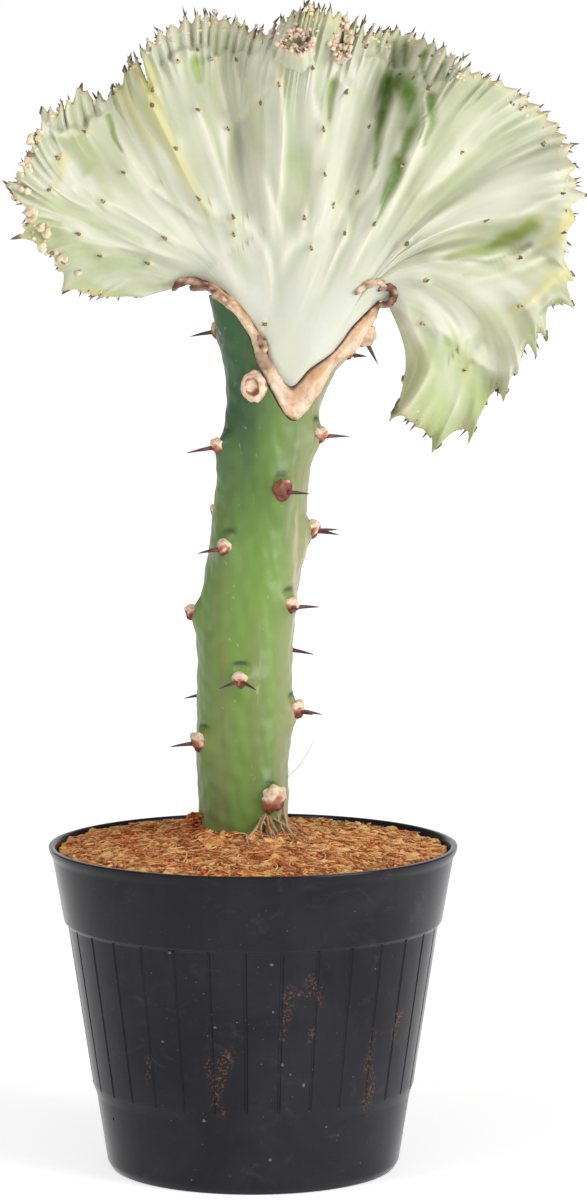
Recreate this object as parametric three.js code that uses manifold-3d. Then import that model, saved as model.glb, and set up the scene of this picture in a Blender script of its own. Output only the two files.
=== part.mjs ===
// Potted coral cactus: a pale fan-shaped crest, wedge-grafted on a green spined stock
// that stands in coir in a fluted black nursery pot.
// Millimetres, +Z up. The origin is the centre of the pot's underside, +X is to the
// viewer's right and the viewer stands on the -Y side.
import * as THREE from 'three';
import { mergeVertices } from 'three/addons/utils/BufferGeometryUtils.js';
import Module from 'manifold-3d';

const wasm = await Module();
wasm.setup();

// Clearance between pieces that touch
const TOUCH_GAP = 0.35;

// Pot
const POT_HEIGHT = 111.6;
const RIM_RADIUS = 70;
const COLLAR_FOOT_RADIUS = 64.8;
const COLLAR_FOOT_HEIGHT = 85.6;
const PANEL_TOP_RADIUS = 63.6;
const PANEL_FOOT_RADIUS = 55.2;
const PANEL_FOOT_HEIGHT = 29.6;
const PANEL_PROUD = 0.9;
const FOOT_RADIUS = 50.2;
const POT_WALL = 1.5;
const POT_FLOOR = 2;
const POT_FACETS = 64;
// The rim turns out under its edge; its top is flat for this width
const RIM_TOP_WIDTH = 2.6;
const RIM_BAND_HEIGHT = 2.6;
const RIM_BEVEL = 0.6;
const RIM_UNDERCUT = 1.6;
// Height of the sloping steps between plain bands and panels
const STEP_HEIGHT = 0.9;
const FLOOR_CURVE_HEIGHT = 4.5;
const GROOVE_COUNT = 32;
const GROOVE_WIDTH = 1.5;
const GROOVE_OFFSET = -2;
const DRAIN_HOLE_COUNT = 8;
const DRAIN_HOLE_RADIUS = 4;
const DRAIN_HOLE_FACETS = 8;
const DRAIN_RING_RADIUS = 35;

// Coir
const SOIL_EDGE_HEIGHT = 106.5;
const SOIL_MOUND_HEIGHT = 10.5;
const SOIL_ROUGHNESS = 0.9;
const SOIL_RING_STEPS = 6;
const STEM_SEAT_HEIGHT = 70;
const STEM_FACETS = 36;
// Heights of the extra rings where the stock widens below the coir's surface
const BURIED_RING_HEIGHTS = [76.4, 96];

// Stock: [height, centre x, half width, half depth] up to the tips of its two arms
const STEM_SECTIONS = [
  [70.4, -2.6, 12.5, 12.5],
  [76, -2.8, 14.2, 14.0],
  [100, -3.0, 15.0, 14.8],
  [118, -3.1, 15.1, 15.0],
  [140, -3.6, 15.6, 15.4],
  [161, -3.1, 16.0, 15.8],
  [180, -2.9, 16.2, 16.0],
  [196, -1.6, 16.4, 16.0],
  [209, 0.3, 16.2, 15.8],
  [223, 1.8, 15.8, 15.6],
  [240, 3.6, 15.4, 15.4],
  [257, 6.2, 15.6, 15.4],
  [264, 7.2, 15.9, 15.2],
  [271, 8.7, 17.6, 14.8],
  [278, 10.0, 20.3, 14.0],
  [285, 11.3, 22.9, 12.8],
  [292, 13.0, 25.8, 11.4],
  [299.5, 14.5, 29.5, 9.8],
];
const STEM_RING_STEP = 6;
// The stock's section is nearly round up to its arms and squarer in them
const ARMS_START_HEIGHT = 262;
const ARMS_FULL_HEIGHT = 292;
const ROUND_POWER = 2.1;
const ARM_POWER = 2.8;
// Five faint ribs that wind up the stock
const STEM_RIB_COUNT = 5;
const STEM_RIB_HEIGHT = 0.3;
const STEM_RIB_WIND = 46;

// Tubercles climb the stock in one spiral
const TUBERCLE_COUNT = 21;
const TUBERCLE_START_HEIGHT = 130.5;
const TUBERCLE_RISE = 7.82;
const TUBERCLE_START_AZIMUTH = 35;
const TUBERCLE_TURN = 136;
// Irregular growth: [tubercle, height shift, azimuth shift]
const TUBERCLE_SHIFTS = [
  [0, -1.5, 0],
  [2, 2.2, 0],
  [3, 4.4, -6],
  [5, 0.8, 1],
  [7, 6.5, 8],
  [8, 2, 8],
  [10, 6.4, 11],
  [11, 3.2, 0],
  [13, 2.4, 20],
  [15, 1, 22],
  [16, -3, 18],
  [18, -1.6, 14],
  [19, 0, 14],
];
const CUSHION_RADIUS = 7.5;
const CUSHION_HEIGHT = 1.5;
const STOCK_RADIUS = 16;
const SHIELD_RADIUS = 3.4;
const SHIELD_HEIGHT = 3.2;
const SHIELD_ROOT = 2.5;
const SCAR_TUBERCLE = 18;
const SPINE_LENGTH = 8.5;
const SPINE_RADIUS = 0.75;
const SPINE_SPREAD = 38;
const SPINE_DROOP = 10;

// Graft: the crest's cut edge and the stock's cut edge, matched point by point as [x, z]
const CREST_CUT = [
  [-20.5, 303.6],
  [-15.1, 304.3],
  [-8.3, 300.5],
  [-2.2, 294.1],
  [3.5, 285.6],
  [6.9, 276.8],
  [13.0, 269.7],
  [19.4, 275.5],
  [28.2, 281.9],
  [33.7, 289.4],
  [39.1, 294.8],
  [44.5, 298.8],
];
const STOCK_CUT = [
  [-22.6, 301.2],
  [-15.4, 301.2],
  [-10.7, 297.1],
  [-5.6, 293.0],
  [-0.8, 284.6],
  [2.5, 275.2],
  [13.0, 257.4],
  [22.1, 266.6],
  [28.2, 276.4],
  [35.4, 281.8],
  [39.9, 289.2],
  [43.2, 294.2],
];
const GRAFT_HALF_DEPTHS = [3.2, 4.6, 7.4, 10.2, 12.8, 14.6, 15.4, 14.4, 12.4, 10.4, 7.4, 4.2];
const CALLUS_PROUD = 0.9;
const CALLUS_STATIONS = 33;
const CALLUS_SPAN = [0.004, 0.965];
// A dried tubercle left on the strap's right arm, with one spine pointing down
const KNOB_CENTRE = [37.2, -5, 286.4];
const KNOB_RADIUS = 3.6;
const KNOB_SPINE_DIRECTION = [0.45, -0.25, -0.86];

// Crest: rows across the fan at one third, two thirds and the whole way out.
// The near and far rows are [x, z], the margin is [x, depth, z].
const FAN_NEAR = [
  [-26.3, 301.9],
  [-28.6, 314.1],
  [-10.3, 319.8],
  [12.0, 316.4],
  [27.9, 318.1],
  [44.5, 315.5],
  [50.5, 312.0],
  [54.0, 304.5],
  [47.9, 291.7],
];
const FAN_FAR = [
  [-32.4, 300.2],
  [-55.6, 329.9],
  [-22.4, 355.8],
  [12.7, 351.8],
  [40.3, 353.5],
  [66.7, 345.1],
  [81.0, 319.5],
  [75.0, 290.4],
  [51.3, 282.2],
];
const MARGIN = [
  [-38.2, 0, 298.7],
  [-50.1, -6, 299.2],
  [-59.9, -12, 303.2],
  [-68.5, -18, 314.7],
  [-75.5, -22, 327.2],
  [-77.0, -24, 340.2],
  [-72.7, -20, 352.2],
  [-67.2, -9, 360.7],
  [-58.5, 4, 365.8],
  [-49.3, 10, 366.4],
  [-42.1, 2, 374.6],
  [-35.6, -8, 382.7],
  [-27.1, -6, 389.4],
  [-16.9, 1, 393.4],
  [-5.7, 7, 391.4],
  [3.2, 6, 388.0],
  [10.7, -5, 394.7],
  [17.3, -13, 396.0],
  [24.1, -14, 395.4],
  [30.3, -12, 393.4],
  [35.6, -7, 390.0],
  [40.8, 1, 388.7],
  [47.1, 13, 388.7],
  [53.5, 18, 387.3],
  [59.7, 10, 384.6],
  [65.4, -2, 382.0],
  [71.1, -10, 376.7],
  [78.3, -12, 373.4],
  [87.6, -6, 369.2],
  [95.6, 2, 363.7],
  [102.5, 7, 356.9],
  [106.8, 3, 349.6],
  [108.1, -8, 338.6],
  [108.0, -12, 327.3],
  [106.0, 1, 315.4],
  [106.6, 9, 304.1],
  [104.1, 1, 295.8],
  [98.2, -8, 288.3],
  [91.8, -4, 279.1],
  [86.9, 4, 269.5],
  [80.1, 10, 262.1],
  [72.8, 12, 253.0],
  [62.6, 8, 249.2],
  [54.8, -2, 252.3],
  [48.8, -10, 258.5],
  [49.4, -8, 265.7],
  [51.3, 0, 273.4],
];
// Deep pockets (positive) and bulges towards the viewer (negative):
// [place along the fan, place outwards, reach along, reach outwards, depth]
const FAN_POCKETS = [
  [0.5, 0.7, 0.022, 0.17, 11],
  [0.6, 0.68, 0.05, 0.2, -8],
  [0.42, 0.6, 0.05, 0.25, -5],
  [0.315, 0.66, 0.025, 0.2, 6],
  [0.15, 0.6, 0.05, 0.22, -6],
  [0.73, 0.66, 0.03, 0.22, 6],
  [0.86, 0.6, 0.05, 0.25, -6],
];
const MARGIN_HALF_THICKNESS = 4.2;
const LARGEST_SLANT = 1.8;
const LEAST_HALF_THICKNESS = 0.4;
const TOOTH_COUNT = 96;
const TOOTH_REACH = 2.6;
const FAN_ROWS = [0, 0.1, 0.22, 0.36, 0.5, 0.62, 0.73, 0.83, 0.92, 0.975, 1];
const FAN_COARSE_ROWS = 3;
const FAN_MIDDLE_ROWS = 6;
const LIP_START = 0.92;
const FAN_STEP = 0.004;
// Tubercles on the crest's faces stand in two rows, this far out along the fan
const FACE_TUBERCLE_LEVELS = [0.42, 0.7];
const FACE_TUBERCLE_SCATTER = 0.13;
const FACE_TUBERCLE_LENGTH = 4.6;
const FACE_TUBERCLE_RADIUS = 2.1;
const SEED = 20731;

const DEGREE = Math.PI / 180;

// Small helpers

function makeRandom(seed) {
  let state = seed;
  return () => {
    state = (state * 16807) % 2147483647;
    return state / 2147483647;
  };
}

function smooth(low, high, value) {
  const t = Math.min(1, Math.max(0, (value - low) / (high - low)));
  return t * t * (3 - 2 * t);
}

function mix(a, b, t) {
  return a + (b - a) * t;
}

// A smooth curve through equally spaced points of any dimension, at t from 0 to 1
function splineAt(points, t) {
  const last = points.length - 1;
  const place = Math.min(Math.max(t, 0), 1) * last;
  const index = Math.min(Math.floor(place), last - 1);
  const w = place - index;
  const p1 = points[index];
  const p2 = points[index + 1];
  const p0 = index > 0 ? points[index - 1] : p1.map((v, i) => 2 * v - p2[i]);
  const p3 = index + 2 <= last ? points[index + 2] : p2.map((v, i) => 2 * v - p1[i]);
  return p1.map((v, i) => {
    const slope1 = (p2[i] - p0[i]) / 2;
    const slope2 = (p3[i] - v) / 2;
    const rise = p2[i] - v;
    const bend2 = 3 * rise - 2 * slope1 - slope2;
    const bend3 = slope1 + slope2 - 2 * rise;
    return v + slope1 * w + bend2 * w * w + bend3 * w * w * w;
  });
}

function solidFromArrays(positions, triangles) {
  return new wasm.Manifold(new wasm.Mesh({
    numProp: 3,
    vertProperties: new Float32Array(positions),
    triVerts: new Uint32Array(triangles),
  }));
}

function solidFromGeometry(geometry, matrix) {
  const bare = geometry.clone();
  bare.deleteAttribute('normal');
  bare.deleteAttribute('uv');
  const merged = mergeVertices(bare, 1e-5);
  merged.applyMatrix4(matrix);
  return solidFromArrays(merged.attributes.position.array, merged.index.array);
}

function meshFromSolid(name, solid, material) {
  const result = solid.getMesh();
  const geometry = new THREE.BufferGeometry();
  const positions = new THREE.BufferAttribute(new Float32Array(result.vertProperties), 3);
  geometry.setAttribute('position', positions);
  geometry.setIndex(new THREE.BufferAttribute(new Uint32Array(result.triVerts), 1));
  geometry.computeVertexNormals();
  const mesh = new THREE.Mesh(geometry, material);
  mesh.name = name;
  return mesh;
}

// A closed mesh from rings of points, capped at both ends by a fan round a centre point
function solidFromRings(rings, startCentre, endCentre) {
  const count = rings[0].length;
  const positions = rings.flat(2);
  const triangles = [];
  for (let r = 0; r + 1 < rings.length; r++) {
    for (let i = 0; i < count; i++) {
      const a = r * count + i;
      const b = r * count + (i + 1) % count;
      triangles.push(a, b, b + count, a, b + count, a + count);
    }
  }
  const start = positions.length / 3;
  positions.push(...startCentre, ...endCentre);
  const top = (rings.length - 1) * count;
  for (let i = 0; i < count; i++) {
    const next = (i + 1) % count;
    triangles.push(start, next, i);
    triangles.push(start + 1, top + i, top + next);
  }
  return solidFromArrays(positions, triangles);
}

// A spine or small point: a slender pyramid whose root lies behind the surface
function pointedCone(root, direction, length, radius, sides) {
  const geometry = new THREE.ConeGeometry(radius, length, sides, 1);
  geometry.translate(0, length / 2, 0);
  const turn = new THREE.Quaternion();
  turn.setFromUnitVectors(new THREE.Vector3(0, 1, 0), direction.clone().normalize());
  const matrix = new THREE.Matrix4().compose(root, turn, new THREE.Vector3(1, 1, 1));
  return solidFromGeometry(geometry, matrix);
}

function joinAll(solids) {
  let joined = solids[0];
  for (const solid of solids.slice(1)) {
    joined = joined.add(solid);
  }
  return joined;
}

// Pot

// The pot's inner wall as straight stretches, [height, radius]
const INNER_WALL = [
  [FLOOR_CURVE_HEIGHT, FOOT_RADIUS - POT_WALL],
  [PANEL_FOOT_HEIGHT, PANEL_FOOT_RADIUS - PANEL_PROUD - POT_WALL],
  [COLLAR_FOOT_HEIGHT, PANEL_TOP_RADIUS - PANEL_PROUD - POT_WALL],
  [COLLAR_FOOT_HEIGHT + 3, COLLAR_FOOT_RADIUS - POT_WALL],
  [POT_HEIGHT - 1, RIM_RADIUS - 3.2],
];

function potProfile() {
  const bandTopRadius = PANEL_FOOT_RADIUS - PANEL_PROUD;
  const outer = [
    [0, 0],
    [FOOT_RADIUS - 2.4, 0],
    [FOOT_RADIUS - 0.9, 0.9],
    [FOOT_RADIUS, 3.2],
    [bandTopRadius, PANEL_FOOT_HEIGHT - STEP_HEIGHT],
    [PANEL_FOOT_RADIUS, PANEL_FOOT_HEIGHT],
    [PANEL_TOP_RADIUS, COLLAR_FOOT_HEIGHT - STEP_HEIGHT],
    [COLLAR_FOOT_RADIUS, COLLAR_FOOT_HEIGHT],
    [RIM_RADIUS - RIM_UNDERCUT, POT_HEIGHT - RIM_BAND_HEIGHT - RIM_UNDERCUT],
    [RIM_RADIUS, POT_HEIGHT - RIM_BAND_HEIGHT],
    [RIM_RADIUS, POT_HEIGHT - RIM_BEVEL],
    [RIM_RADIUS - RIM_BEVEL, POT_HEIGHT],
  ];
  const floorCorner = [FOOT_RADIUS - 3.2, POT_FLOOR];
  const inner = INNER_WALL.map(([height, radius]) => [radius, height]).reverse();
  inner.unshift([RIM_RADIUS - RIM_TOP_WIDTH, POT_HEIGHT]);
  inner.push(floorCorner, [0, POT_FLOOR]);
  return outer.concat(inner).map(([radius, height]) => new THREE.Vector2(radius, height));
}

function grooveCutter(azimuth) {
  const rise = COLLAR_FOOT_HEIGHT - STEP_HEIGHT - PANEL_FOOT_HEIGHT;
  const spread = PANEL_TOP_RADIUS - PANEL_FOOT_RADIUS;
  const lean = Math.atan2(spread, rise);
  const stick = 2.4;
  const box = new THREE.BoxGeometry(GROOVE_WIDTH, stick, Math.hypot(rise, spread) + 1);
  const middleRadius = (PANEL_TOP_RADIUS + PANEL_FOOT_RADIUS) / 2;
  box.translate(0, stick / 2 - PANEL_PROUD + 0.05, 0);
  box.rotateX(-lean);
  box.translate(0, middleRadius, PANEL_FOOT_HEIGHT + rise / 2 - 0.6);
  // Azimuth 0 is the front of the pot and grows towards the viewer's right
  const turn = new THREE.Matrix4().makeRotationZ(Math.PI + azimuth * DEGREE);
  return solidFromGeometry(box, turn);
}

function drainHoleCutter(index) {
  const angle = (index + 0.5) * 2 * Math.PI / DRAIN_HOLE_COUNT;
  const length = 4 * POT_FLOOR;
  const radius = DRAIN_HOLE_RADIUS;
  const cylinder = new THREE.CylinderGeometry(radius, radius, length, DRAIN_HOLE_FACETS);
  cylinder.rotateX(Math.PI / 2);
  const x = DRAIN_RING_RADIUS * Math.cos(angle);
  const y = DRAIN_RING_RADIUS * Math.sin(angle);
  return solidFromGeometry(cylinder, new THREE.Matrix4().makeTranslation(x, y, POT_FLOOR / 2));
}

function makePot() {
  const lathe = new THREE.LatheGeometry(potProfile(), POT_FACETS);
  lathe.rotateX(Math.PI / 2);
  let pot = solidFromGeometry(lathe, new THREE.Matrix4());
  for (let i = 0; i < GROOVE_COUNT; i++) {
    pot = pot.subtract(grooveCutter(GROOVE_OFFSET + i * 360 / GROOVE_COUNT));
  }
  for (let i = 0; i < DRAIN_HOLE_COUNT; i++) {
    pot = pot.subtract(drainHoleCutter(i));
  }
  return pot;
}

// Stock

function stemSection(height) {
  const sections = STEM_SECTIONS;
  let index = 0;
  while (index + 2 < sections.length && height > sections[index + 1][0]) {
    index++;
  }
  const low = sections[index];
  const high = sections[index + 1];
  const t = Math.min(1, Math.max(0, (height - low[0]) / (high[0] - low[0])));
  return {
    x: mix(low[1], high[1], t),
    halfWidth: mix(low[2], high[2], t),
    halfDepth: mix(low[3], high[3], t),
  };
}

// Azimuth 0 faces the viewer and grows towards the viewer's right
function outwardAt(azimuth) {
  return new THREE.Vector3(Math.sin(azimuth), -Math.cos(azimuth), 0);
}

function stemPoint(azimuth, height, extra) {
  const section = stemSection(height);
  const arms = smooth(ARMS_START_HEIGHT, ARMS_FULL_HEIGHT, height);
  const power = mix(ROUND_POWER, ARM_POWER, arms);
  const s = Math.sin(azimuth);
  const c = -Math.cos(azimuth);
  const scale = Math.pow(Math.abs(s) ** power + Math.abs(c) ** power, -1 / power);
  const ribbed = smooth(POT_HEIGHT, TUBERCLE_START_HEIGHT, height) * (1 - arms);
  const ribs = STEM_RIB_HEIGHT * Math.cos(STEM_RIB_COUNT * azimuth + height / STEM_RIB_WIND) * ribbed;
  const x = section.x + (section.halfWidth + ribs + extra) * scale * s;
  const y = (section.halfDepth + ribs + extra) * scale * c;
  return [x, y, height];
}

function tubercleSpots() {
  const spots = [];
  for (let k = 0; k < TUBERCLE_COUNT; k++) {
    const shift = TUBERCLE_SHIFTS.find((row) => row[0] === k) || [k, 0, 0];
    spots.push({
      index: k,
      height: TUBERCLE_START_HEIGHT + TUBERCLE_RISE * k + shift[1],
      azimuth: (TUBERCLE_START_AZIMUTH + TUBERCLE_TURN * k + shift[2]) * DEGREE,
    });
  }
  return spots;
}

// The swelling under each tubercle, as a rise of the stem's skin
function cushionRise(azimuth, height, spots) {
  let rise = 0;
  for (const spot of spots) {
    const turn = Math.atan2(Math.sin(azimuth - spot.azimuth), Math.cos(azimuth - spot.azimuth));
    const across = turn * STOCK_RADIUS / CUSHION_RADIUS;
    const along = (height - spot.height) / (CUSHION_RADIUS * 1.2);
    rise = Math.max(rise, CUSHION_HEIGHT * Math.exp(-2 * (across * across + along * along)));
  }
  return rise;
}

function stemBody(spots) {
  const bottom = STEM_SECTIONS[0][0];
  const top = STEM_SECTIONS[STEM_SECTIONS.length - 1][0];
  const aboveSoil = SOIL_EDGE_HEIGHT + SOIL_MOUND_HEIGHT;
  const heights = [bottom, ...BURIED_RING_HEIGHTS, aboveSoil];
  const steps = Math.round((top - aboveSoil) / STEM_RING_STEP);
  for (let i = 1; i <= steps; i++) {
    heights.push(mix(aboveSoil, top, i / steps));
  }
  const rings = heights.map((height) => {
    const ring = [];
    for (let i = 0; i < STEM_FACETS; i++) {
      const azimuth = 2 * Math.PI * i / STEM_FACETS;
      const rise = height > aboveSoil ? cushionRise(azimuth, height, spots) : 0;
      ring.push(stemPoint(azimuth, height, rise));
    }
    return ring;
  });
  const low = stemSection(bottom);
  const high = stemSection(top);
  return solidFromRings(rings, [low.x, 0, bottom], [high.x, 0, top]);
}

// A corky shield with a rounded face, seated in its cushion
function shieldSolid(spot) {
  const scar = spot.index === SCAR_TUBERCLE;
  const radius = scar ? SHIELD_RADIUS * 1.45 : SHIELD_RADIUS;
  const height = scar ? SHIELD_HEIGHT * 0.9 : SHIELD_HEIGHT;
  const outline = [
    [0, -SHIELD_ROOT],
    [radius, -SHIELD_ROOT],
    [radius, height * 0.45],
    [radius * 0.7, height * 0.9],
    [0, height],
  ];
  const lathe = new THREE.LatheGeometry(outline.map(([r, h]) => new THREE.Vector2(r, h)), 8);
  const outward = outwardAt(spot.azimuth);
  const turn = new THREE.Quaternion().setFromUnitVectors(new THREE.Vector3(0, 1, 0), outward);
  const seat = new THREE.Vector3(...stemPoint(spot.azimuth, spot.height, CUSHION_HEIGHT * 0.8));
  return solidFromGeometry(lathe, new THREE.Matrix4().compose(seat, turn, new THREE.Vector3(1, 1, 1)));
}

function spineSolid(spot, side) {
  const direction = outwardAt(spot.azimuth + side * SPINE_SPREAD * DEGREE);
  direction.z = -Math.sin(SPINE_DROOP * DEGREE);
  direction.normalize();
  const root = new THREE.Vector3(...stemPoint(spot.azimuth, spot.height, CUSHION_HEIGHT + 0.6));
  return pointedCone(root, direction, SPINE_LENGTH + 2, SPINE_RADIUS, 4);
}

// Everything above the stock's cut edge
function notchCutter() {
  const shape = new THREE.Shape();
  const first = STOCK_CUT[0];
  const last = STOCK_CUT[STOCK_CUT.length - 1];
  const margin = 20;
  const halfDepth = 30;
  const ceiling = last[1] + 2 * margin;
  shape.moveTo(first[0] - margin, ceiling);
  shape.lineTo(first[0] - margin, first[1] - TOUCH_GAP);
  const points = 4 * (STOCK_CUT.length - 1);
  for (let i = 0; i <= points; i++) {
    const [x, z] = splineAt(STOCK_CUT, i / points);
    shape.lineTo(x, z - TOUCH_GAP);
  }
  shape.lineTo(last[0] + margin, last[1] - TOUCH_GAP);
  shape.lineTo(last[0] + margin, ceiling);
  shape.closePath();
  const prism = new THREE.ExtrudeGeometry(shape, { depth: 2 * halfDepth, bevelEnabled: false });
  prism.rotateX(Math.PI / 2);
  prism.translate(0, halfDepth, 0);
  return solidFromGeometry(prism, new THREE.Matrix4());
}

function makeStock() {
  const spots = tubercleSpots();
  const solids = [stemBody(spots)];
  for (const spot of spots) {
    solids.push(shieldSolid(spot));
    if (spot.index !== SCAR_TUBERCLE) {
      solids.push(spineSolid(spot, -1), spineSolid(spot, 1));
    }
  }
  return joinAll(solids).subtract(notchCutter());
}

// Coir: fills the pot, mounds up round the stem and leaves a plain hole for it

function soilHeight(x, y, random) {
  const section = stemSection(SOIL_EDGE_HEIGHT);
  const fromStem = Math.hypot(x - section.x, y) - section.halfWidth;
  const reach = RIM_RADIUS - section.halfWidth;
  const mound = Math.pow(Math.max(0, 1 - fromStem / reach), 1.5);
  return SOIL_EDGE_HEIGHT + SOIL_MOUND_HEIGHT * mound + SOIL_ROUGHNESS * (random() * 2 - 1);
}

function innerWallRadius(height) {
  const index = Math.max(1, INNER_WALL.findIndex((row) => height <= row[0]));
  const [lowHeight, lowRadius] = INNER_WALL[index - 1];
  const [highHeight, highRadius] = INNER_WALL[index];
  return mix(lowRadius, highRadius, (height - lowHeight) / (highHeight - lowHeight));
}

function makeSoil() {
  const random = makeRandom(SEED);
  const facets = STEM_FACETS;
  const flatClear = Math.cos(Math.PI / POT_FACETS);
  const azimuths = Array.from({ length: facets }, (_, i) => 2 * Math.PI * i / facets);
  const holeClearance = TOUCH_GAP + 0.1;
  const holeRing = (height) => azimuths.map((azimuth) => stemPoint(azimuth, height, holeClearance));
  const wallRing = (height) => azimuths.map((azimuth) => {
    const radius = innerWallRadius(height) * flatClear - TOUCH_GAP;
    return [radius * Math.sin(azimuth), -radius * Math.cos(azimuth), height];
  });
  const rings = [];
  for (const height of [STEM_SEAT_HEIGHT, ...BURIED_RING_HEIGHTS]) {
    rings.push(holeRing(height));
  }
  const steps = SOIL_RING_STEPS;
  const hole = holeRing(SOIL_EDGE_HEIGHT);
  const wall = wallRing(SOIL_EDGE_HEIGHT);
  for (let s = 0; s <= steps; s++) {
    rings.push(azimuths.map((_, i) => {
      const x = mix(hole[i][0], wall[i][0], s / steps);
      const y = mix(hole[i][1], wall[i][1], s / steps);
      return [x, y, soilHeight(x, y, s < steps ? random : () => 0.5)];
    }));
  }
  for (const height of [COLLAR_FOOT_HEIGHT + 3, COLLAR_FOOT_HEIGHT, PANEL_FOOT_HEIGHT, FLOOR_CURVE_HEIGHT]) {
    rings.push(wallRing(height));
  }
  const floor = POT_FLOOR + TOUCH_GAP;
  rings.push(azimuths.map((azimuth) => {
    const radius = FOOT_RADIUS - 4.5;
    return [radius * Math.sin(azimuth), -radius * Math.cos(azimuth), floor];
  }));
  const seat = stemSection(STEM_SEAT_HEIGHT);
  return solidFromRings(rings.reverse(), [0, 0, floor], [seat.x, 0, STEM_SEAT_HEIGHT]);
}

// Dried graft strap: lies between the stock's cut and the crest's cut, a little proud of both

const STRAP_SECTION = [
  [0, -0.72], [0.3, -1], [0.75, -1], [1, -0.85], [1, 0.85], [0.75, 1], [0.3, 1], [0, 0.72],
];

function centreOf(ring) {
  return [0, 1, 2].map((axis) => ring.reduce((sum, point) => sum + point[axis], 0) / ring.length);
}

function strapRing(t) {
  const low = splineAt(STOCK_CUT, t);
  const high = splineAt(CREST_CUT, t);
  const [halfDepth] = splineAt(GRAFT_HALF_DEPTHS.map((depth) => [depth]), t);
  const width = Math.hypot(high[0] - low[0], high[1] - low[1]);
  const full = 1 - TOUCH_GAP / width;
  return STRAP_SECTION.map(([across, depth]) => {
    const x = mix(low[0], high[0], across * full);
    const z = mix(low[1], high[1], across * full);
    return [x, -depth * (halfDepth + CALLUS_PROUD), z];
  });
}

function makeCallus() {
  const rings = [];
  for (let i = 0; i <= CALLUS_STATIONS; i++) {
    rings.push(strapRing(mix(CALLUS_SPAN[0], CALLUS_SPAN[1], i / CALLUS_STATIONS)));
  }
  const strap = solidFromRings(rings, centreOf(rings[0]), centreOf(rings[rings.length - 1]));
  const centre = new THREE.Vector3(...KNOB_CENTRE);
  const ball = new THREE.SphereGeometry(KNOB_RADIUS, 8, 5);
  const knob = solidFromGeometry(ball, new THREE.Matrix4().setPosition(centre));
  const direction = new THREE.Vector3(...KNOB_SPINE_DIRECTION);
  const spine = pointedCone(centre, direction, KNOB_RADIUS + SPINE_LENGTH, SPINE_RADIUS, 4);
  return joinAll([strap, knob, spine]);
}

// Crest

// The fan's place, 0 to 1 from its left end to its right, of a phase at which the teeth are even:
// they are closer together in some stretches
function fanPlace(phase) {
  return phase + 0.006 * Math.sin(2 * Math.PI * 3 * phase) + 0.003 * Math.sin(2 * Math.PI * 7 * phase);
}

function fanFlat(u, v) {
  const cut = splineAt(CREST_CUT, u);
  const near = splineAt(FAN_NEAR, u);
  const far = splineAt(FAN_FAR, u);
  const margin = splineAt(MARGIN, u);
  const w0 = -4.5 * (v - 1 / 3) * (v - 2 / 3) * (v - 1);
  const w1 = 13.5 * v * (v - 2 / 3) * (v - 1);
  const w2 = -13.5 * v * (v - 1 / 3) * (v - 1);
  const w3 = 4.5 * v * (v - 1 / 3) * (v - 2 / 3);
  const x = w0 * cut[0] + w1 * near[0] + w2 * far[0] + w3 * margin[0];
  const z = w0 * cut[1] + w1 * near[1] + w2 * far[1] + w3 * margin[2];
  return [x, z];
}

// The width that one unit of u covers, seen from the front
function fanSpread(u, v) {
  const [xa, za] = fanFlat(u - FAN_STEP, v);
  const [xb, zb] = fanFlat(u + FAN_STEP, v);
  return Math.max(1, Math.hypot(xb - xa, zb - za) / (2 * FAN_STEP));
}

function fanDepth(u, v) {
  let depth = splineAt(MARGIN, u)[1] * Math.pow(v, 2.2);
  for (const [u0, v0, reachU, reachV, push] of FAN_POCKETS) {
    const du = (u - u0) / reachU;
    const dv = (v - v0) / reachV;
    depth += push * Math.exp(-du * du - dv * dv) * smooth(0, 0.3, v);
  }
  return depth;
}

// Sharp ridges at whole numbers of the count, with broad hollows between them
function ridge(count, phase) {
  return 1 - 2 * Math.pow(Math.abs(Math.sin(Math.PI * count * phase)), 0.85);
}

// Each family of ribs stands out in proportion to its spacing, up to a limit
function ribRise(phase, v) {
  const spread = fanSpread(fanPlace(phase), v);
  const family = (count, steepness, limit) => {
    return Math.min(limit, steepness * spread / count) * ridge(count, phase);
  };
  const vigour = 0.8 + 0.2 * Math.sin(2 * Math.PI * 5.3 * phase + 1.2);
  const broad = family(TOOTH_COUNT / 8, 0.06, 1.4);
  const middle = family(TOOTH_COUNT / 4, 0.07, 0.9) * smooth(0.25, 0.6, v);
  const fine = family(TOOTH_COUNT / 2, 0.1, 0.7) * smooth(0.5, 0.8, v);
  const teeth = family(TOOTH_COUNT, 0.12, 0.7) * smooth(0.7, 0.95, v);
  const shoulder = 0.9 * Math.exp(-(((v - 0.85) / 0.07) ** 2));
  return vigour * (broad + middle + fine + teeth) + shoulder;
}

// The margin is rounded over: this falls from 1 at the start of the lip to 0 at its edge
function lipShare(v) {
  const into = Math.max(0, (v - LIP_START) / (1 - LIP_START));
  return Math.sqrt(Math.max(0, 1 - into * into));
}

function fanHalfThickness(u, v) {
  const [cut] = splineAt(GRAFT_HALF_DEPTHS.map((depth) => [depth]), u);
  const body = mix(cut - 0.4, MARGIN_HALF_THICKNESS, smooth(0, 0.85, v));
  const ends = mix(0.5, 1, smooth(0, 0.03, Math.min(u, 1 - u)));
  return body * ends * lipShare(v);
}

// How much a slanting stretch must be thickened in depth to keep its true thickness
function slantFactor(u, v) {
  const depthChange = (fanDepth(u + FAN_STEP, v) - fanDepth(u - FAN_STEP, v)) / (2 * FAN_STEP);
  return Math.min(LARGEST_SLANT, Math.hypot(1, depthChange / fanSpread(u, v)));
}

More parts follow.
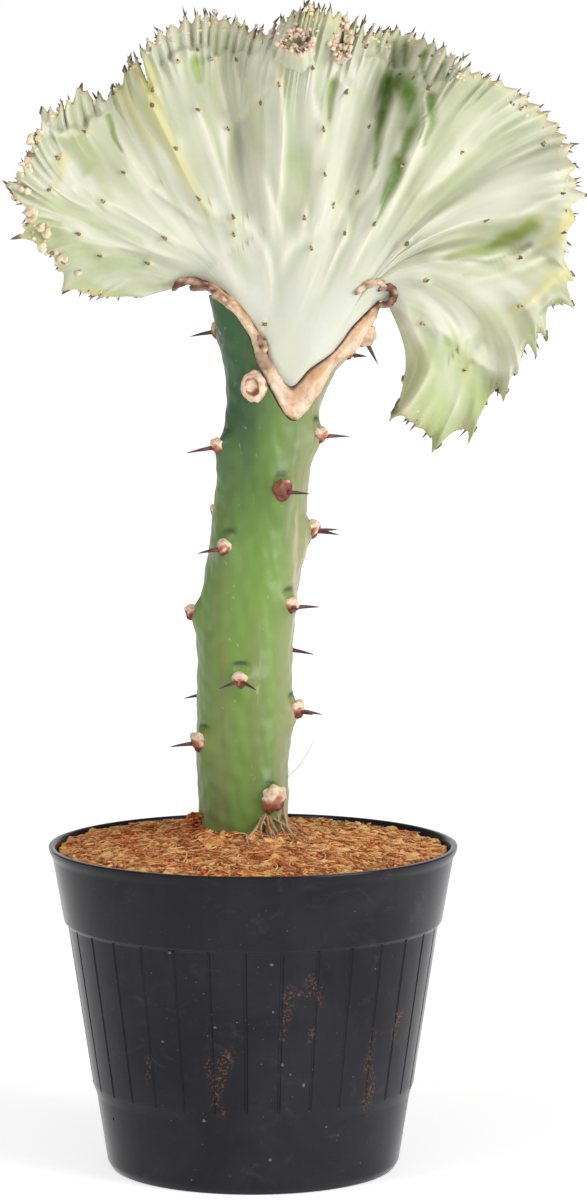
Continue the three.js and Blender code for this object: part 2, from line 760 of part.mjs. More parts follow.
// A point of the crest's skin: side is -1 on the viewer's face and 1 on the back
function crestPoint(phase, v, side) {
  const u = fanPlace(phase);
  let [x, z] = fanFlat(u, v);
  const toothed = 0.5 + 0.5 * Math.cos(2 * Math.PI * TOOTH_COUNT * phase);
  const crowding = Math.min(1, fanSpread(u, v) / (TOOTH_COUNT * 5));
  const reach = TOOTH_REACH * (toothed - 0.5) * crowding * smooth(0.93, 1, v);
  const [xi, zi] = fanFlat(u, v - 0.05);
  const length = Math.hypot(x - xi, z - zi);
  x += reach * (x - xi) / length;
  z += reach * (z - zi) / length;
  const half = fanHalfThickness(u, v) * slantFactor(u, v) + ribRise(phase, v) * lipShare(v);
  return [x, fanDepth(u, v) + side * Math.max(half, v < 1 ? LEAST_HALF_THICKNESS : 0), z];
}

function fanColumns(row) {
  if (row < FAN_COARSE_ROWS) {
    return TOOTH_COUNT / 2;
  }
  return row < FAN_MIDDLE_ROWS ? TOOTH_COUNT : TOOTH_COUNT * 2;
}

// Two faces of rows that share the margin, with more columns towards the margin
function crestBody() {
  const positions = [];
  const triangles = [];
  const lastRow = FAN_ROWS.length - 1;
  const startIndex = { '-1': [], 1: [] };
  for (const side of [-1, 1]) {
    FAN_ROWS.forEach((v, row) => {
      if (side === 1 && row === lastRow) {
        startIndex[side].push(startIndex[-1][row]);
        return;
      }
      startIndex[side].push(positions.length / 3);
      const columns = fanColumns(row);
      for (let i = 0; i <= columns; i++) {
        positions.push(...crestPoint(i / columns, v, side));
      }
    });
  }
  const addTriangle = (side, a, b, c) => {
    triangles.push(...(side === -1 ? [a, b, c] : [a, c, b]));
  };
  for (const side of [-1, 1]) {
    for (let row = 0; row < lastRow; row++) {
      const low = startIndex[side][row];
      const high = startIndex[side][row + 1];
      const columns = fanColumns(row);
      const doubled = fanColumns(row + 1) > columns;
      for (let i = 0; i < columns; i++) {
        if (doubled) {
          addTriangle(side, low + i, high + 2 * i + 1, high + 2 * i);
          addTriangle(side, low + i, low + i + 1, high + 2 * i + 1);
          addTriangle(side, low + i + 1, high + 2 * i + 2, high + 2 * i + 1);
        } else {
          addTriangle(side, low + i, low + i + 1, high + i + 1);
          addTriangle(side, low + i, high + i + 1, high + i);
        }
      }
    }
  }
  // The cut edge at the graft
  for (let i = 0; i < fanColumns(0); i++) {
    const front = startIndex[-1][0] + i;
    const back = startIndex[1][0] + i;
    triangles.push(front, back, back + 1, front, back + 1, front + 1);
  }
  // The two ends of the fan
  for (const end of [0, 1]) {
    for (let row = 0; row < lastRow; row++) {
      const a = startIndex[-1][row] + end * fanColumns(row);
      const b = startIndex[-1][row + 1] + end * fanColumns(row + 1);
      const c = startIndex[1][row + 1] + end * fanColumns(row + 1);
      const d = startIndex[1][row] + end * fanColumns(row);
      const corners = b === c ? [[a, b, d]] : [[a, b, c], [a, c, d]];
      for (const [p, q, r] of corners) {
        triangles.push(...(end === 0 ? [p, q, r] : [p, r, q]));
      }
    }
  }
  return solidFromArrays(positions, triangles);
}

// Pointed tubercles on both faces, in rows that follow the ribs
function crestTubercles() {
  const random = makeRandom(SEED + 1);
  const solids = [];
  const ribs = TOOTH_COUNT / 4;
  for (const side of [-1, 1]) {
    for (let rib = 1; rib < ribs; rib++) {
      FACE_TUBERCLE_LEVELS.forEach((level, row) => {
        const phase = (rib + row / 2) / ribs;
        const v = level + FACE_TUBERCLE_SCATTER * (random() * 2 - 1);
        const here = new THREE.Vector3(...crestPoint(phase, v, side));
        const further = new THREE.Vector3(...crestPoint(phase, v + 0.03, side));
        const direction = further.sub(here).normalize();
        direction.y += side * 1.1;
        const root = here.clone();
        root.y -= side * 1.6;
        solids.push(pointedCone(root, direction, FACE_TUBERCLE_LENGTH, FACE_TUBERCLE_RADIUS, 5));
      });
    }
  }
  return solids;
}

function makeCrest() {
  return joinAll([crestBody(), ...crestTubercles()]);
}

// Materials and assembly

function paint(colour, roughness) {
  return new THREE.MeshStandardMaterial({ color: colour, roughness, metalness: 0 });
}

const plant = new THREE.Group();
plant.add(meshFromSolid('pot', makePot(), paint(0x35343a, 0.42)));
plant.add(meshFromSolid('soil', makeSoil(), paint(0xb97e4d, 0.95)));
plant.add(meshFromSolid('rootstock', makeStock(), paint(0x668544, 0.55)));
plant.add(meshFromSolid('graft_callus', makeCallus(), paint(0xdfc19e, 0.8)));
plant.add(meshFromSolid('crest', makeCrest(), paint(0xc8cdb0, 0.5)));

export default plant;
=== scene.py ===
import math

import bmesh
import bpy
import numpy as np
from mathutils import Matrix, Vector


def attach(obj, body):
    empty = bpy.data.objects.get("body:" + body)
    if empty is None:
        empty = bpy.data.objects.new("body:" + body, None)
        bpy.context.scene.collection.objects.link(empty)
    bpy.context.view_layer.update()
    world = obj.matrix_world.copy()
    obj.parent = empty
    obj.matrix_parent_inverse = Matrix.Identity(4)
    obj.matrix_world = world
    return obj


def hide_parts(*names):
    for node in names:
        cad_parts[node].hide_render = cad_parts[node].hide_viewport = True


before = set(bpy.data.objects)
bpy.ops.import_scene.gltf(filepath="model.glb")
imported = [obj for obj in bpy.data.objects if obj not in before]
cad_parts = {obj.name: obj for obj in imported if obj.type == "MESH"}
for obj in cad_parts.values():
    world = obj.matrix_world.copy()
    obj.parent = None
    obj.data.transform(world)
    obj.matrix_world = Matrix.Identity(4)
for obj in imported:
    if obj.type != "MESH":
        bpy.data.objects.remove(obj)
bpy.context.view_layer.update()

MM = 0.001
TURN = 2 * math.pi

# Camera, at the photograph's distance and tilt
CAMERA_PLACE = (13.84, -1750.0, 390.5)
CAMERA_TILT = 0.1109
CAMERA_LENS = 155.0
SENSOR_HEIGHT = 36.0
# The photograph's focal length and middle, in its pixels
PHOTO_FOCUS = 5167.0
PHOTO_MIDDLE = (293.5, 600)
# Depth of the plane on which lines of the crest's face were read
FACE_DEPTH = -7.0


def on_photo(across, down, depth):
    """The [x, z] in millimetres, to 0.1 mm, of a photo pixel on the upright plane at that depth."""
    c = math.cos(CAMERA_TILT)
    s = math.sin(CAMERA_TILT)
    distance = depth - CAMERA_PLACE[1]
    slope = (PHOTO_MIDDLE[1] - down) / PHOTO_FOCUS
    rise = (distance * (slope * c - s)) / (c + slope * s)
    reach = distance * c - rise * s
    x = CAMERA_PLACE[0] + (across - PHOTO_MIDDLE[0]) * reach / PHOTO_FOCUS
    return [round(x, 1), round(CAMERA_PLACE[2] + rise, 1)]


def traced(*pixels, depth=FACE_DEPTH):
    """The [x, z] points of a line read from the photograph as (across, down) pixels."""
    return [on_photo(across, down, depth) for across, down in pixels]



# Pot
POT_HEIGHT = 111.6
RIM_RADIUS = 70.0
COLLAR_FOOT_RADIUS = 64.8
COLLAR_FOOT_HEIGHT = 85.6
PANEL_TOP_RADIUS = 63.6
PANEL_FOOT_RADIUS = 55.2
PANEL_FOOT_HEIGHT = 29.6
PANEL_PROUD = 0.9
FOOT_RADIUS = 50.2
POT_WALL = 1.5
POT_FLOOR = 2.0
GROOVE_COUNT = 32
GROOVE_OFFSET = -2.0
GROOVE_DEPTH = 0.42
PANEL_STEPS = 30
DRAIN_HOLE_COUNT = 8
DRAIN_HOLE_RADIUS = 4.0
DRAIN_RING_RADIUS = 35.0

# Coir
SOIL_EDGE_HEIGHT = 106.5
SOIL_MOUND_HEIGHT = 10.5
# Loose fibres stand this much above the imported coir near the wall
COIR_LOFT = 2.8
COIR_RADIUS = 66.4
COIR_CRUMBS = 4200
COIR_FIBRES = 1500
COIR_CLUMP_BITS = 130
# The coir below its top, down to the floor: [height, radius]
COIR_RINGS = [[88.6, 62.6], [85.6, 60.5], [29.6, 52.0], [4.5, 48.0], [2.4, 45.0], [2.4, 1.0]]

# Stock: [height, centre x, half width, half depth]
STEM_SECTIONS = [
    [70.4, -2.6, 12.5, 12.5], [76, -2.8, 14.2, 14.0], [100, -3.0, 15.0, 14.8],
    [118, -3.1, 15.1, 15.0], [140, -3.6, 15.6, 15.4], [161, -3.1, 16.0, 15.8],
    [180, -2.9, 16.2, 16.0], [196, -1.6, 16.4, 16.0], [209, 0.3, 16.2, 15.8],
    [223, 1.8, 15.8, 15.6], [240, 3.6, 15.4, 15.4], [257, 6.2, 15.6, 15.4], [264, 7.2, 15.9, 15.2],
    [271, 8.7, 17.6, 14.8], [278, 10.0, 20.3, 14.0], [285, 11.3, 22.9, 12.8],
    [292, 13.0, 25.8, 11.4], [299.5, 14.5, 29.5, 9.8],
]
TUBERCLE_COUNT = 21
TUBERCLE_START_HEIGHT = 130.5
TUBERCLE_RISE = 7.82
TUBERCLE_START_AZIMUTH = 35
TUBERCLE_TURN = 136
# Irregular growth, by tubercle: its height shift in mm and its azimuth shift in degrees
TUBERCLE_SHIFTS = {
    0: (-1.5, 0), 2: (2.2, 0), 3: (4.4, -6), 5: (0.8, 1), 7: (6.5, 8), 8: (2, 8), 10: (6.4, 11),
    11: (3.2, 0), 13: (2.4, 20), 15: (1, 22), 16: (-3, 18), 18: (-1.6, 14), 19: (0, 14),
}
SCAR_TUBERCLE = 18
BROWN_TUBERCLE = 13
SMALL_TUBERCLE = 19
CUSHION_RADIUS = 7.5
CUSHION_HEIGHT = 3.6
SPINE_LENGTH = 7.4

# Graft: the crest's cut edge and the stock's cut edge, matched point by point as [x, z]
CREST_CUT = traced(
    (192, 283), (208, 281), (228, 292), (246, 311), (263, 336), (273, 362), (291, 383), (310, 366),
    (336, 347), (352, 325), (368, 309), (384, 297),
    depth=0,
)
STOCK_CUT = [
    [-22.6, 301.2], [-15.4, 301.2], [-10.7, 297.1], [-5.6, 293.0], [-0.8, 284.6], [2.5, 275.2],
    [13.0, 257.4], [22.1, 266.6], [28.2, 276.4], [35.4, 281.8], [39.9, 289.2], [43.2, 294.2],
]
KNOB_CENTRE = [37.2, -5, 286.4]
KNOB_RADIUS = 4.0
KNOB_SPINE_DIRECTION = [0.45, -0.25, -0.86]
GRAFT_HALF_DEPTHS = [3.2, 4.6, 7.4, 10.2, 12.8, 14.6, 15.4, 14.4, 12.4, 10.4, 7.4, 4.2]

# Crest rows as [x, z], at one third and two thirds of the way out
FAN_NEAR = [
    [-26.3, 301.9], [-28.6, 314.1], [-10.3, 319.8], [12.0, 316.4], [27.9, 318.1], [44.5, 315.5],
    [50.5, 312.0], [54.0, 304.5], [47.9, 291.7],
]
FAN_FAR = [
    [-32.4, 300.2], [-55.6, 329.9], [-22.4, 355.8], [12.7, 351.8], [40.3, 353.5], [66.7, 345.1],
    [81.0, 319.5], [75.0, 290.4], [51.3, 282.2],
]
# Points of the margin in the photograph, with the depth at which its x and z are
# worked out, and the depth that it was given in the end: [across, down, reading depth, depth]
MARGIN_PIXELS = [
    [140, 297, 2, 0], [104, 297, -6, -6], [74, 286, -12, -12], [48, 252, -14, -18],
    [28, 214, -8, -22], [22, 176, -16, -24], [34, 140, -20, -20], [52, 114, -8, -9],
    [80, 98, 10, 4], [108, 96, 16, 10], [128, 72, 6, 2], [146, 48, -8, -8], [172, 28, 0, -6],
    [203, 16, 14, 1], [236, 22, 18, 7], [262, 32, 4, 6], [284, 12, -12, -5], [304, 8, -18, -13],
    [324, 10, -4, -14], [342, 16, 10, -12], [358, 26, 0, -7], [374, 30, -10, 1], [392, 30, 4, 13],
    [410, 34, 20, 18], [428, 42, 22, 10], [446, 50, 8, -2], [464, 66, -6, -10],
    [486, 76, -10, -12], [512, 88, 2, -6], [534, 104, 14, 2], [554, 124, 16, 7], [568, 146, 6, 3],
    [574, 180, -8, -8], [574, 214, -12, -12], [566, 248, 0, 1], [566, 280, 10, 9],
    [560, 306, 0, 1], [544, 330, -10, -8], [524, 356, -4, -4], [508, 382, 8, 4], [488, 404, 6, 10],
    [468, 434, -8, 12], [438, 446, -12, 8], [414, 434, 0, -2], [396, 414, 8, -10],
    [398, 394, 4, -8], [404, 372, 0, 0],
]
MARGIN = []
for across, down, reading_depth, margin_depth in MARGIN_PIXELS:
    margin_x, margin_z = on_photo(across, down, reading_depth)
    MARGIN.append([margin_x, margin_depth, margin_z])
# Deep pockets (positive) and bulges towards the viewer (negative):
# [place along the fan, place outwards, reach along, reach outwards, depth]
FAN_POCKETS = [
    [0.5, 0.7, 0.03, 0.17, -1.5], [0.6, 0.68, 0.05, 0.2, -6.5], [0.42, 0.6, 0.05, 0.25, -3.5],
    [0.315, 0.66, 0.025, 0.2, 6], [0.15, 0.6, 0.05, 0.22, -6], [0.73, 0.66, 0.03, 0.22, 6],
    [0.86, 0.6, 0.05, 0.25, -6],
]
MARGIN_HALF_THICKNESS = 4.2
LIP_START = 0.92
FAN_STEP = 0.004
TEETH = 100
COLUMNS_PER_TOOTH = 8
TOOTH_REACH = 1.7
STRIP_START = 0.78
# Relative spacing of the teeth: [place along the fan, spacing]
TOOTH_SPACING = [
    [0, 1.3], [0.08, 1.0], [0.2, 0.9], [0.45, 0.85], [0.5, 0.9], [0.54, 1.6], [0.65, 1.5],
    [0.75, 1.2], [0.88, 1.5], [1, 1.8],
]
# How strongly the margin is toothed: [place along the fan, strength]
TOOTH_VIGOUR = [
    [0.0, 0.1], [0.05, 0.5], [0.1, 0.8], [0.2, 1.1], [0.27, 1.2], [0.45, 1.2], [0.6, 0.9],
    [0.74, 0.9], [0.8, 0.5], [0.9, 0.3], [1.0, 0.2],
]

# Tubercles on the viewer's face of the crest, where the photograph shows them
FACE_TUBERCLES = traced(
    (195, 52), (216, 60), (236, 61), (179, 64), (153, 92), (147, 106), (198, 110), (229, 131),
    (179, 144), (87, 132), (65, 156), (124, 172), (56, 187), (104, 205), (203, 199), (82, 232),
    (168, 240), (102, 255), (150, 264), (234, 220), (234, 234), (262, 325), (312, 70), (352, 92),
    (373, 123), (324, 132), (325, 175), (353, 189), (339, 205), (304, 215), (344, 235), (373, 226),
    (311, 248), (404, 245), (465, 155), (484, 225), (519, 110), (548, 140), (564, 188), (519, 257),
    (514, 307), (423, 281), (419, 322), (469, 368), (395, 72), (408, 77), (426, 91), (369, 41),
    (97, 340), (274, 83), (255, 102), (397, 163), (565, 235),
)


# Small helpers


def smooth(low, high, value):
    t = np.clip((value - low) / (high - low), 0, 1)
    return t * t * (3 - 2 * t)


def mix(a, b, t):
    return a + (b - a) * t


def bell(value, width, centre=0.0):
    """1 at the centre, falling to almost 0 two widths away."""
    return np.exp(-(((value - centre) / width) ** 2))


def spline(points, t):
    """A smooth curve through equally spaced points, at an array of t from 0 to 1."""
    points = np.asarray(points, float)
    last = len(points) - 1
    place = np.clip(t, 0, 1) * last
    index = np.minimum(place.astype(int), last - 1)
    w = (place - index)[..., None]
    padded = np.vstack([2 * points[0] - points[1], points, 2 * points[-1] - points[-2]])
    p0, p1, p2, p3 = (padded[index + k] for k in range(4))
    slope1 = (p2 - p0) / 2
    slope2 = (p3 - p1) / 2
    rise = p2 - p1
    bend2 = 3 * rise - 2 * slope1 - slope2
    bend3 = slope1 + slope2 - 2 * rise
    return p1 + slope1 * w + bend2 * w**2 + bend3 * w**3


def ripple(points, size, seed):
    """Smooth noise between about -1 and 1, with features of that size in millimetres."""
    random = np.random.default_rng(seed)
    count = 10
    directions = random.normal(size=(count, 3))
    directions /= np.linalg.norm(directions, axis=1)[:, None]
    scales = random.uniform(0.7, 1.6, count) * TURN / (2 * size)
    phases = random.uniform(0, TURN, count)
    waves = np.sin(points @ directions.T * scales + phases)
    return waves.sum(axis=-1) / math.sqrt(count)


def linear(r, g, b):
    """A shown colour of 0 to 255 as the linear colour that a shader takes."""
    shown = np.array([r, g, b]) / 255
    light = np.where(shown <= 0.04045, shown / 12.92, ((shown + 0.055) / 1.055) ** 2.4)
    return (*light, 1.0)


def linked(name, data):
    """A new object in the scene."""
    made = bpy.data.objects.new(name, data)
    bpy.context.scene.collection.objects.link(made)
    return made


def make_piece(name, points, faces, material, layers=None, sharp=None):
    """A mesh piece of the plant from points in millimetres, with named number layers."""
    mesh = bpy.data.meshes.new(name)
    points = np.asarray(points, float) * MM
    groups = faces if isinstance(faces, list) else [faces]
    corners = np.concatenate([np.asarray(group, np.int32).ravel() for group in groups])
    sizes = np.concatenate([np.full(len(group), group.shape[1], np.int32) for group in groups])
    mesh.vertices.add(len(points))
    mesh.vertices.foreach_set("co", points.astype(np.float32).ravel())
    mesh.loops.add(len(corners))
    mesh.loops.foreach_set("vertex_index", corners)
    mesh.polygons.add(len(sizes))
    loop_starts = np.concatenate([[0], np.cumsum(sizes)[:-1]])
    mesh.polygons.foreach_set("loop_start", loop_starts.astype(np.int32))
    mesh.polygons.foreach_set("use_smooth", np.ones(len(sizes), bool))
    mesh.update(calc_edges=True)
    mesh.validate()
    for layer, values in (layers or {}).items():
        attribute = mesh.attributes.new(layer, "FLOAT", "POINT")
        attribute.data.foreach_set("value", np.asarray(values, np.float32).ravel())
    if sharp is not None:
        mesh.set_sharp_from_angle(angle=math.radians(sharp))
    piece = linked(name, mesh)
    mesh.materials.append(material)
    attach(piece, "root")
    return piece


def grid_faces(rows, columns, start=0, closed=False):
    """Quads of a grid whose points run along each row first."""
    r = np.arange(rows - 1)[:, None]
    c = np.arange(columns if closed else columns - 1)[None, :]
    a = start + r * columns + c
    b = start + r * columns + (c + 1) % columns
    return np.stack([a, b, b + columns, a + columns], axis=-1).reshape(-1, 4)


def fan_faces(centre, ring_start, columns, flip=False):
    """Triangles from a centre point to a closed ring."""
    ring = np.arange(columns)
    following = ring_start + (ring + 1) % columns
    ring = ring_start + ring
    middle = np.full(columns, centre)
    return np.stack([middle, ring, following] if flip else [middle, following, ring], axis=-1)


# Node materials


def new_material(name, roughness, **sockets):
    material = bpy.data.materials.new(name)
    material.use_nodes = True
    shader = material.node_tree.nodes["Principled BSDF"]
    shader.inputs["Roughness"].default_value = roughness
    for socket, value in sockets.items():
        shader.inputs[socket.replace("_", " ")].default_value = value
    return material, material.node_tree, shader


def number_layer(tree, name):
    node = tree.nodes.new("ShaderNodeAttribute")
    node.attribute_name = name
    return node.outputs["Fac"]


def noise(tree, scale, detail=4.0, roughness=0.55, stretch=(1, 1, 1), distortion=0.0):
    """Noise in object space, with scale in features a metre and a stretch along the axes."""
    coordinates = tree.nodes.new("ShaderNodeTexCoord")
    mapping = tree.nodes.new("ShaderNodeMapping")
    mapping.inputs["Scale"].default_value = stretch
    texture = tree.nodes.new("ShaderNodeTexNoise")
    texture.inputs["Scale"].default_value = scale
    texture.inputs["Detail"].default_value = detail
    texture.inputs["Roughness"].default_value = roughness
    texture.inputs["Distortion"].default_value = distortion
    tree.links.new(coordinates.outputs["Object"], mapping.inputs["Vector"])
    tree.links.new(mapping.outputs["Vector"], texture.inputs["Vector"])
    return texture.outputs["Fac"]


def ranged(tree, value, low, high, to_low=0.0, to_high=1.0):
    node = tree.nodes.new("ShaderNodeMapRange")
    node.interpolation_type = "SMOOTHSTEP"
    node.inputs["From Min"].default_value = low
    node.inputs["From Max"].default_value = high
    node.inputs["To Min"].default_value = to_low
    node.inputs["To Max"].default_value = to_high
    tree.links.new(value, node.inputs["Value"])
    return node.outputs["Result"]


def math_node(tree, operation, first, second):
    node = tree.nodes.new("ShaderNodeMath")
    node.operation = operation
    for socket, value in zip(node.inputs, (first, second)):
        if isinstance(value, (int, float)):
            socket.default_value = value
        else:
            tree.links.new(value, socket)
    return node.outputs["Value"]


def product(tree, first, second):
    return math_node(tree, "MULTIPLY", first, second)


def blended(tree, share, first, second):
    """Two colours, given as colours or sockets, mixed by a share socket or number."""
    node = tree.nodes.new("ShaderNodeMix")
    node.data_type = "RGBA"
    for socket, value in ((node.inputs[0], share), (node.inputs[6], first), (node.inputs[7], second)):
        if isinstance(value, (int, float, tuple)):
            socket.default_value = value
        else:
            tree.links.new(value, socket)
    return node.outputs[2]


def coat(tree, colour, share, *shown):
    """One more coat on a colour: how much of it shows, and its shown red, green and blue."""
    return blended(tree, share, colour, linear(*shown))


def bumped(tree, shader, height, distance, strength=1.0):
    node = tree.nodes.new("ShaderNodeBump")
    node.inputs["Distance"].default_value = distance * MM
    node.inputs["Strength"].default_value = strength
    tree.links.new(height, node.inputs["Height"])
    tree.links.new(node.outputs["Normal"], shader.inputs["Normal"])


def crest_material():
    material, tree, shader = new_material(
        "crest_skin", 0.5, Specular_IOR_Level=0.3, Subsurface_Weight=0.06, Subsurface_Scale=0.0015
    )
    shader.inputs["Subsurface Radius"].default_value = (1.0, 0.95, 0.6)
    rise = number_layer(tree, "rise")
    outward = number_layer(tree, "outward")
    mottle = noise(tree, 60, 5)
    tint = noise(tree, 24, 3)
    fine = noise(tree, 420, 4)
    # Lighter on raised relief and tubercle peaks and darker where it is low: painted light and shade
    body = blended(tree, ranged(tree, rise, 0.15, 0.85), linear(176, 179, 153), linear(205, 206, 187))
    # Greener and darker in the hollows of the relief: painted shade
    body = coat(tree, body, product(tree, number_layer(tree, "hollow"), 0.5), 156, 166, 122)
    body = coat(tree, body, ranged(tree, outward, 0.5, 0.12, 0, 0.85), 204, 206, 196)
    body = coat(tree, body, ranged(tree, tint, 0.4, 0.65, 0, 0.45), 186, 189, 174)
    body = coat(tree, body, ranged(tree, mottle, 0.4, 0.75, 0, 0.35), 194, 194, 163)
    # Pale streaks, and a painted highlight on ridge tops and on the strip beyond the shelves
    body = coat(tree, body, product(tree, number_layer(tree, "pale"), 0.36), 230, 226, 206)
    # Green streaks, and painted shade on the side of each ridge turned from the light and in the rosettes'
    # pleats
    body = coat(tree, body, product(tree, number_layer(tree, "shade"), 0.34), 142, 156, 106)
    rim = product(tree, number_layer(tree, "rim"), 0.6)
    body = coat(tree, body, rim, 206, 194, 152)
    # Green streaks, and painted shade in the gaps between pleats and inside the rosettes
    body = coat(tree, body, number_layer(tree, "green"), 148, 164, 84)
    body = coat(tree, body, number_layer(tree, "yellow"), 198, 190, 116)
    # Deep green patches, and painted shade in the gaps between pleats and deep inside the rosettes
    body = coat(tree, body, number_layer(tree, "deep"), 84, 114, 22)
    body = coat(tree, body, ranged(tree, fine, 0.45, 0.8, 0, 0.2), 192, 198, 168)
    tree.links.new(body, shader.inputs["Base Color"])
    bumped(tree, shader, fine, 0.1, 0.5)
    return material


def tip_material():
    material, tree, shader = new_material("spine_tips", 0.5)
    along = number_layer(tree, "along")
    speckle = noise(tree, 300, 3)
    colour = blended(tree, ranged(tree, along, 0.0, 0.5), linear(130, 110, 80), linear(92, 80, 70))
    colour = coat(tree, colour, ranged(tree, speckle, 0.4, 0.7, 0, 0.4), 120, 92, 66)
    tree.links.new(colour, shader.inputs["Base Color"])
    bumped(tree, shader, speckle, 0.1)
    return material


def nub_material():
    material, tree, shader = new_material("margin_nubs", 0.6, Subsurface_Weight=0.1, Subsurface_Scale=0.002)
    warmth = number_layer(tree, "warmth")
    speckle = noise(tree, 500, 4)
    colour = blended(tree, ranged(tree, warmth, 0, 0.5), linear(222, 213, 176), linear(226, 196, 174))
    colour = coat(tree, colour, ranged(tree, warmth, 0.6, 1.0), 104, 86, 56)
    colour = coat(tree, colour, ranged(tree, speckle, 0.45, 0.7, 0, 0.5), 158, 124, 92)
    tree.links.new(colour, shader.inputs["Base Color"])
    bumped(tree, shader, speckle, 0.25)
    return material


def stem_material():
    material, tree, shader = new_material("stem_skin", 0.42, Subsurface_Weight=0.05, Subsurface_Scale=0.0015)
    height = number_layer(tree, "height")
    left = number_layer(tree, "left")
    right = number_layer(tree, "right")
    mottle = noise(tree, 45, 5, stretch=(1, 1, 0.3))
    bands = noise(tree, 120, 4, 0.6, stretch=(1, 1, 0.08))
    fleck = noise(tree, 700, 2, stretch=(1, 1, 0.6))
    scratch = noise(tree, 230, 6, 0.7, stretch=(1, 1, 0.22), distortion=1.2)
    colour = blended(tree, ranged(tree, height, 112, 170), linear(88, 116, 44), linear(110, 142, 60))
    colour = coat(tree, colour, ranged(tree, height, 190, 262), 74, 106, 44)
    # Darker on the left side: painted shade
    colour = coat(tree, colour, product(tree, left, 0.35), 86, 100, 66)
    # Pale grey on the right edge: a painted reflection
    colour = coat(tree, colour, product(tree, right, 0.85), 150, 146, 112)
    colour = coat(tree, colour, ranged(tree, mottle, 0.4, 0.7, 0, 0.5), 128, 152, 74)
    colour = coat(tree, colour, ranged(tree, bands, 0.48, 0.68, 0, 0.5), 112, 112, 66)
    # Dark green on the upper left: painted shade
    upper_left_shade = product(tree, left, ranged(tree, height, 225, 262))
    colour = coat(tree, colour, product(tree, upper_left_shade, 0.85), 38, 76, 46)
    # Pale bands on the right side only: a painted sheen
    banded_sheen = product(tree, right, ranged(tree, bands, 0.5, 0.62, 0, 0.8))
    colour = coat(tree, colour, banded_sheen, 186, 178, 150)
    colour = coat(tree, colour, number_layer(tree, "cushion"), 40, 70, 38)
    colour = coat(tree, colour, ranged(tree, fleck, 0.7, 0.78, 0, 0.4), 180, 188, 134)
    colour = coat(tree, colour, ranged(tree, scratch, 0.65, 0.72, 0, 0.5), 188, 182, 140)
    tree.links.new(colour, shader.inputs["Base Color"])
    bumped(tree, shader, mottle, 0.4, 0.5)
    return material


def cork_material():
    material, tree, shader = new_material("corky_shields", 0.7)
    under = number_layer(tree, "under")
    grain = noise(tree, 350, 5, 0.65)
    colour = blended(tree, ranged(tree, under, 0.3, 0.5), linear(228, 204, 178), linear(180, 118, 88))
    colour = coat(tree, colour, ranged(tree, under, 0.48, 0.75), 106, 52, 42)
    colour = coat(tree, colour, ranged(tree, grain, 0.42, 0.7, 0, 0.6), 158, 104, 76)
    tree.links.new(colour, shader.inputs["Base Color"])
    bumped(tree, shader, grain, 0.5)
    return material


def spine_material():
    material, tree, shader = new_material("stem_spines", 0.4)
    along = number_layer(tree, "along")
    grain = noise(tree, 600, 3)
    colour = blended(tree, ranged(tree, along, 0.05, 0.5), linear(120, 62, 52), linear(62, 40, 48))
    colour = coat(tree, colour, ranged(tree, grain, 0.4, 0.7, 0, 0.3), 96, 62, 60)
    tree.links.new(colour, shader.inputs["Base Color"])
    return material


def callus_material():
    material, tree, shader = new_material("dried_callus", 0.72)
    crease = number_layer(tree, "crease")
    streak = noise(tree, 160, 6, 0.65, distortion=0.8)
    grain = noise(tree, 700, 4)
    colour = blended(tree, ranged(tree, streak, 0.35, 0.65), linear(224, 205, 180), linear(208, 172, 138))
    colour = coat(tree, colour, product(tree, number_layer(tree, "inner"), 0.75), 186, 132, 76)
    colour = coat(tree, colour, ranged(tree, grain, 0.5, 0.75, 0, 0.5), 180, 134, 98)
    colour = coat(tree, colour, crease, 96, 52, 32)
    tree.links.new(colour, shader.inputs["Base Color"])
    bumped(tree, shader, streak, 0.6)
    return material


def coir_material():
    material, tree, shader = new_material("coir", 0.95)
    shade = number_layer(tree, "shade")
    clump = noise(tree, 90, 5)
    grain = noise(tree, 800, 5, 0.7)
    colour = blended(tree, shade, linear(178, 86, 42), linear(255, 207, 138))
    colour = coat(tree, colour, ranged(tree, clump, 0.35, 0.7, 0, 0.4), 246, 147, 76)
    colour = coat(tree, colour, ranged(tree, grain, 0.54, 0.78, 0, 0.5), 136, 72, 38)
    tree.links.new(colour, shader.inputs["Base Color"])
    bumped(tree, shader, grain, 0.8)
    return material


def pot_material():
    material, tree, shader = new_material("pot_plastic", 0.3, Specular_IOR_Level=0.14)
    cloud = noise(tree, 22, 6, 0.6, distortion=0.6)
    haze = noise(tree, 70, 7, 0.7, stretch=(1, 1, 1.6), distortion=1.0)
    dust = noise(tree, 900, 3, 0.6)
    grime = noise(tree, 1100, 4, 0.7)
    colour = blended(tree, ranged(tree, cloud, 0.35, 0.7), linear(27, 26, 31), linear(38, 37, 42))
    colour = coat(tree, colour, ranged(tree, haze, 0.55, 0.75, 0, 0.4), 62, 61, 67)
    splash = product(tree, number_layer(tree, "stain"), ranged(tree, grime, 0.5, 0.62))
    colour = coat(tree, colour, product(tree, splash, 0.7), 118, 84, 66)
    colour = coat(tree, colour, ranged(tree, dust, 0.68, 0.78, 0, 0.4), 112, 110, 112)
    tree.links.new(colour, shader.inputs["Base Color"])
    tree.links.new(ranged(tree, cloud, 0.3, 0.7, 0.14, 0.26), shader.inputs["Roughness"])
    bumped(tree, shader, dust, 0.02, 0.4)
    return material


def speck_material():
    material, tree, shader = new_material("dust_specks", 0.8)
    colour = blended(tree, noise(tree, 300, 2), linear(80, 78, 82), linear(108, 106, 104))
    tree.links.new(colour, shader.inputs["Base Color"])
    return material


# Pot


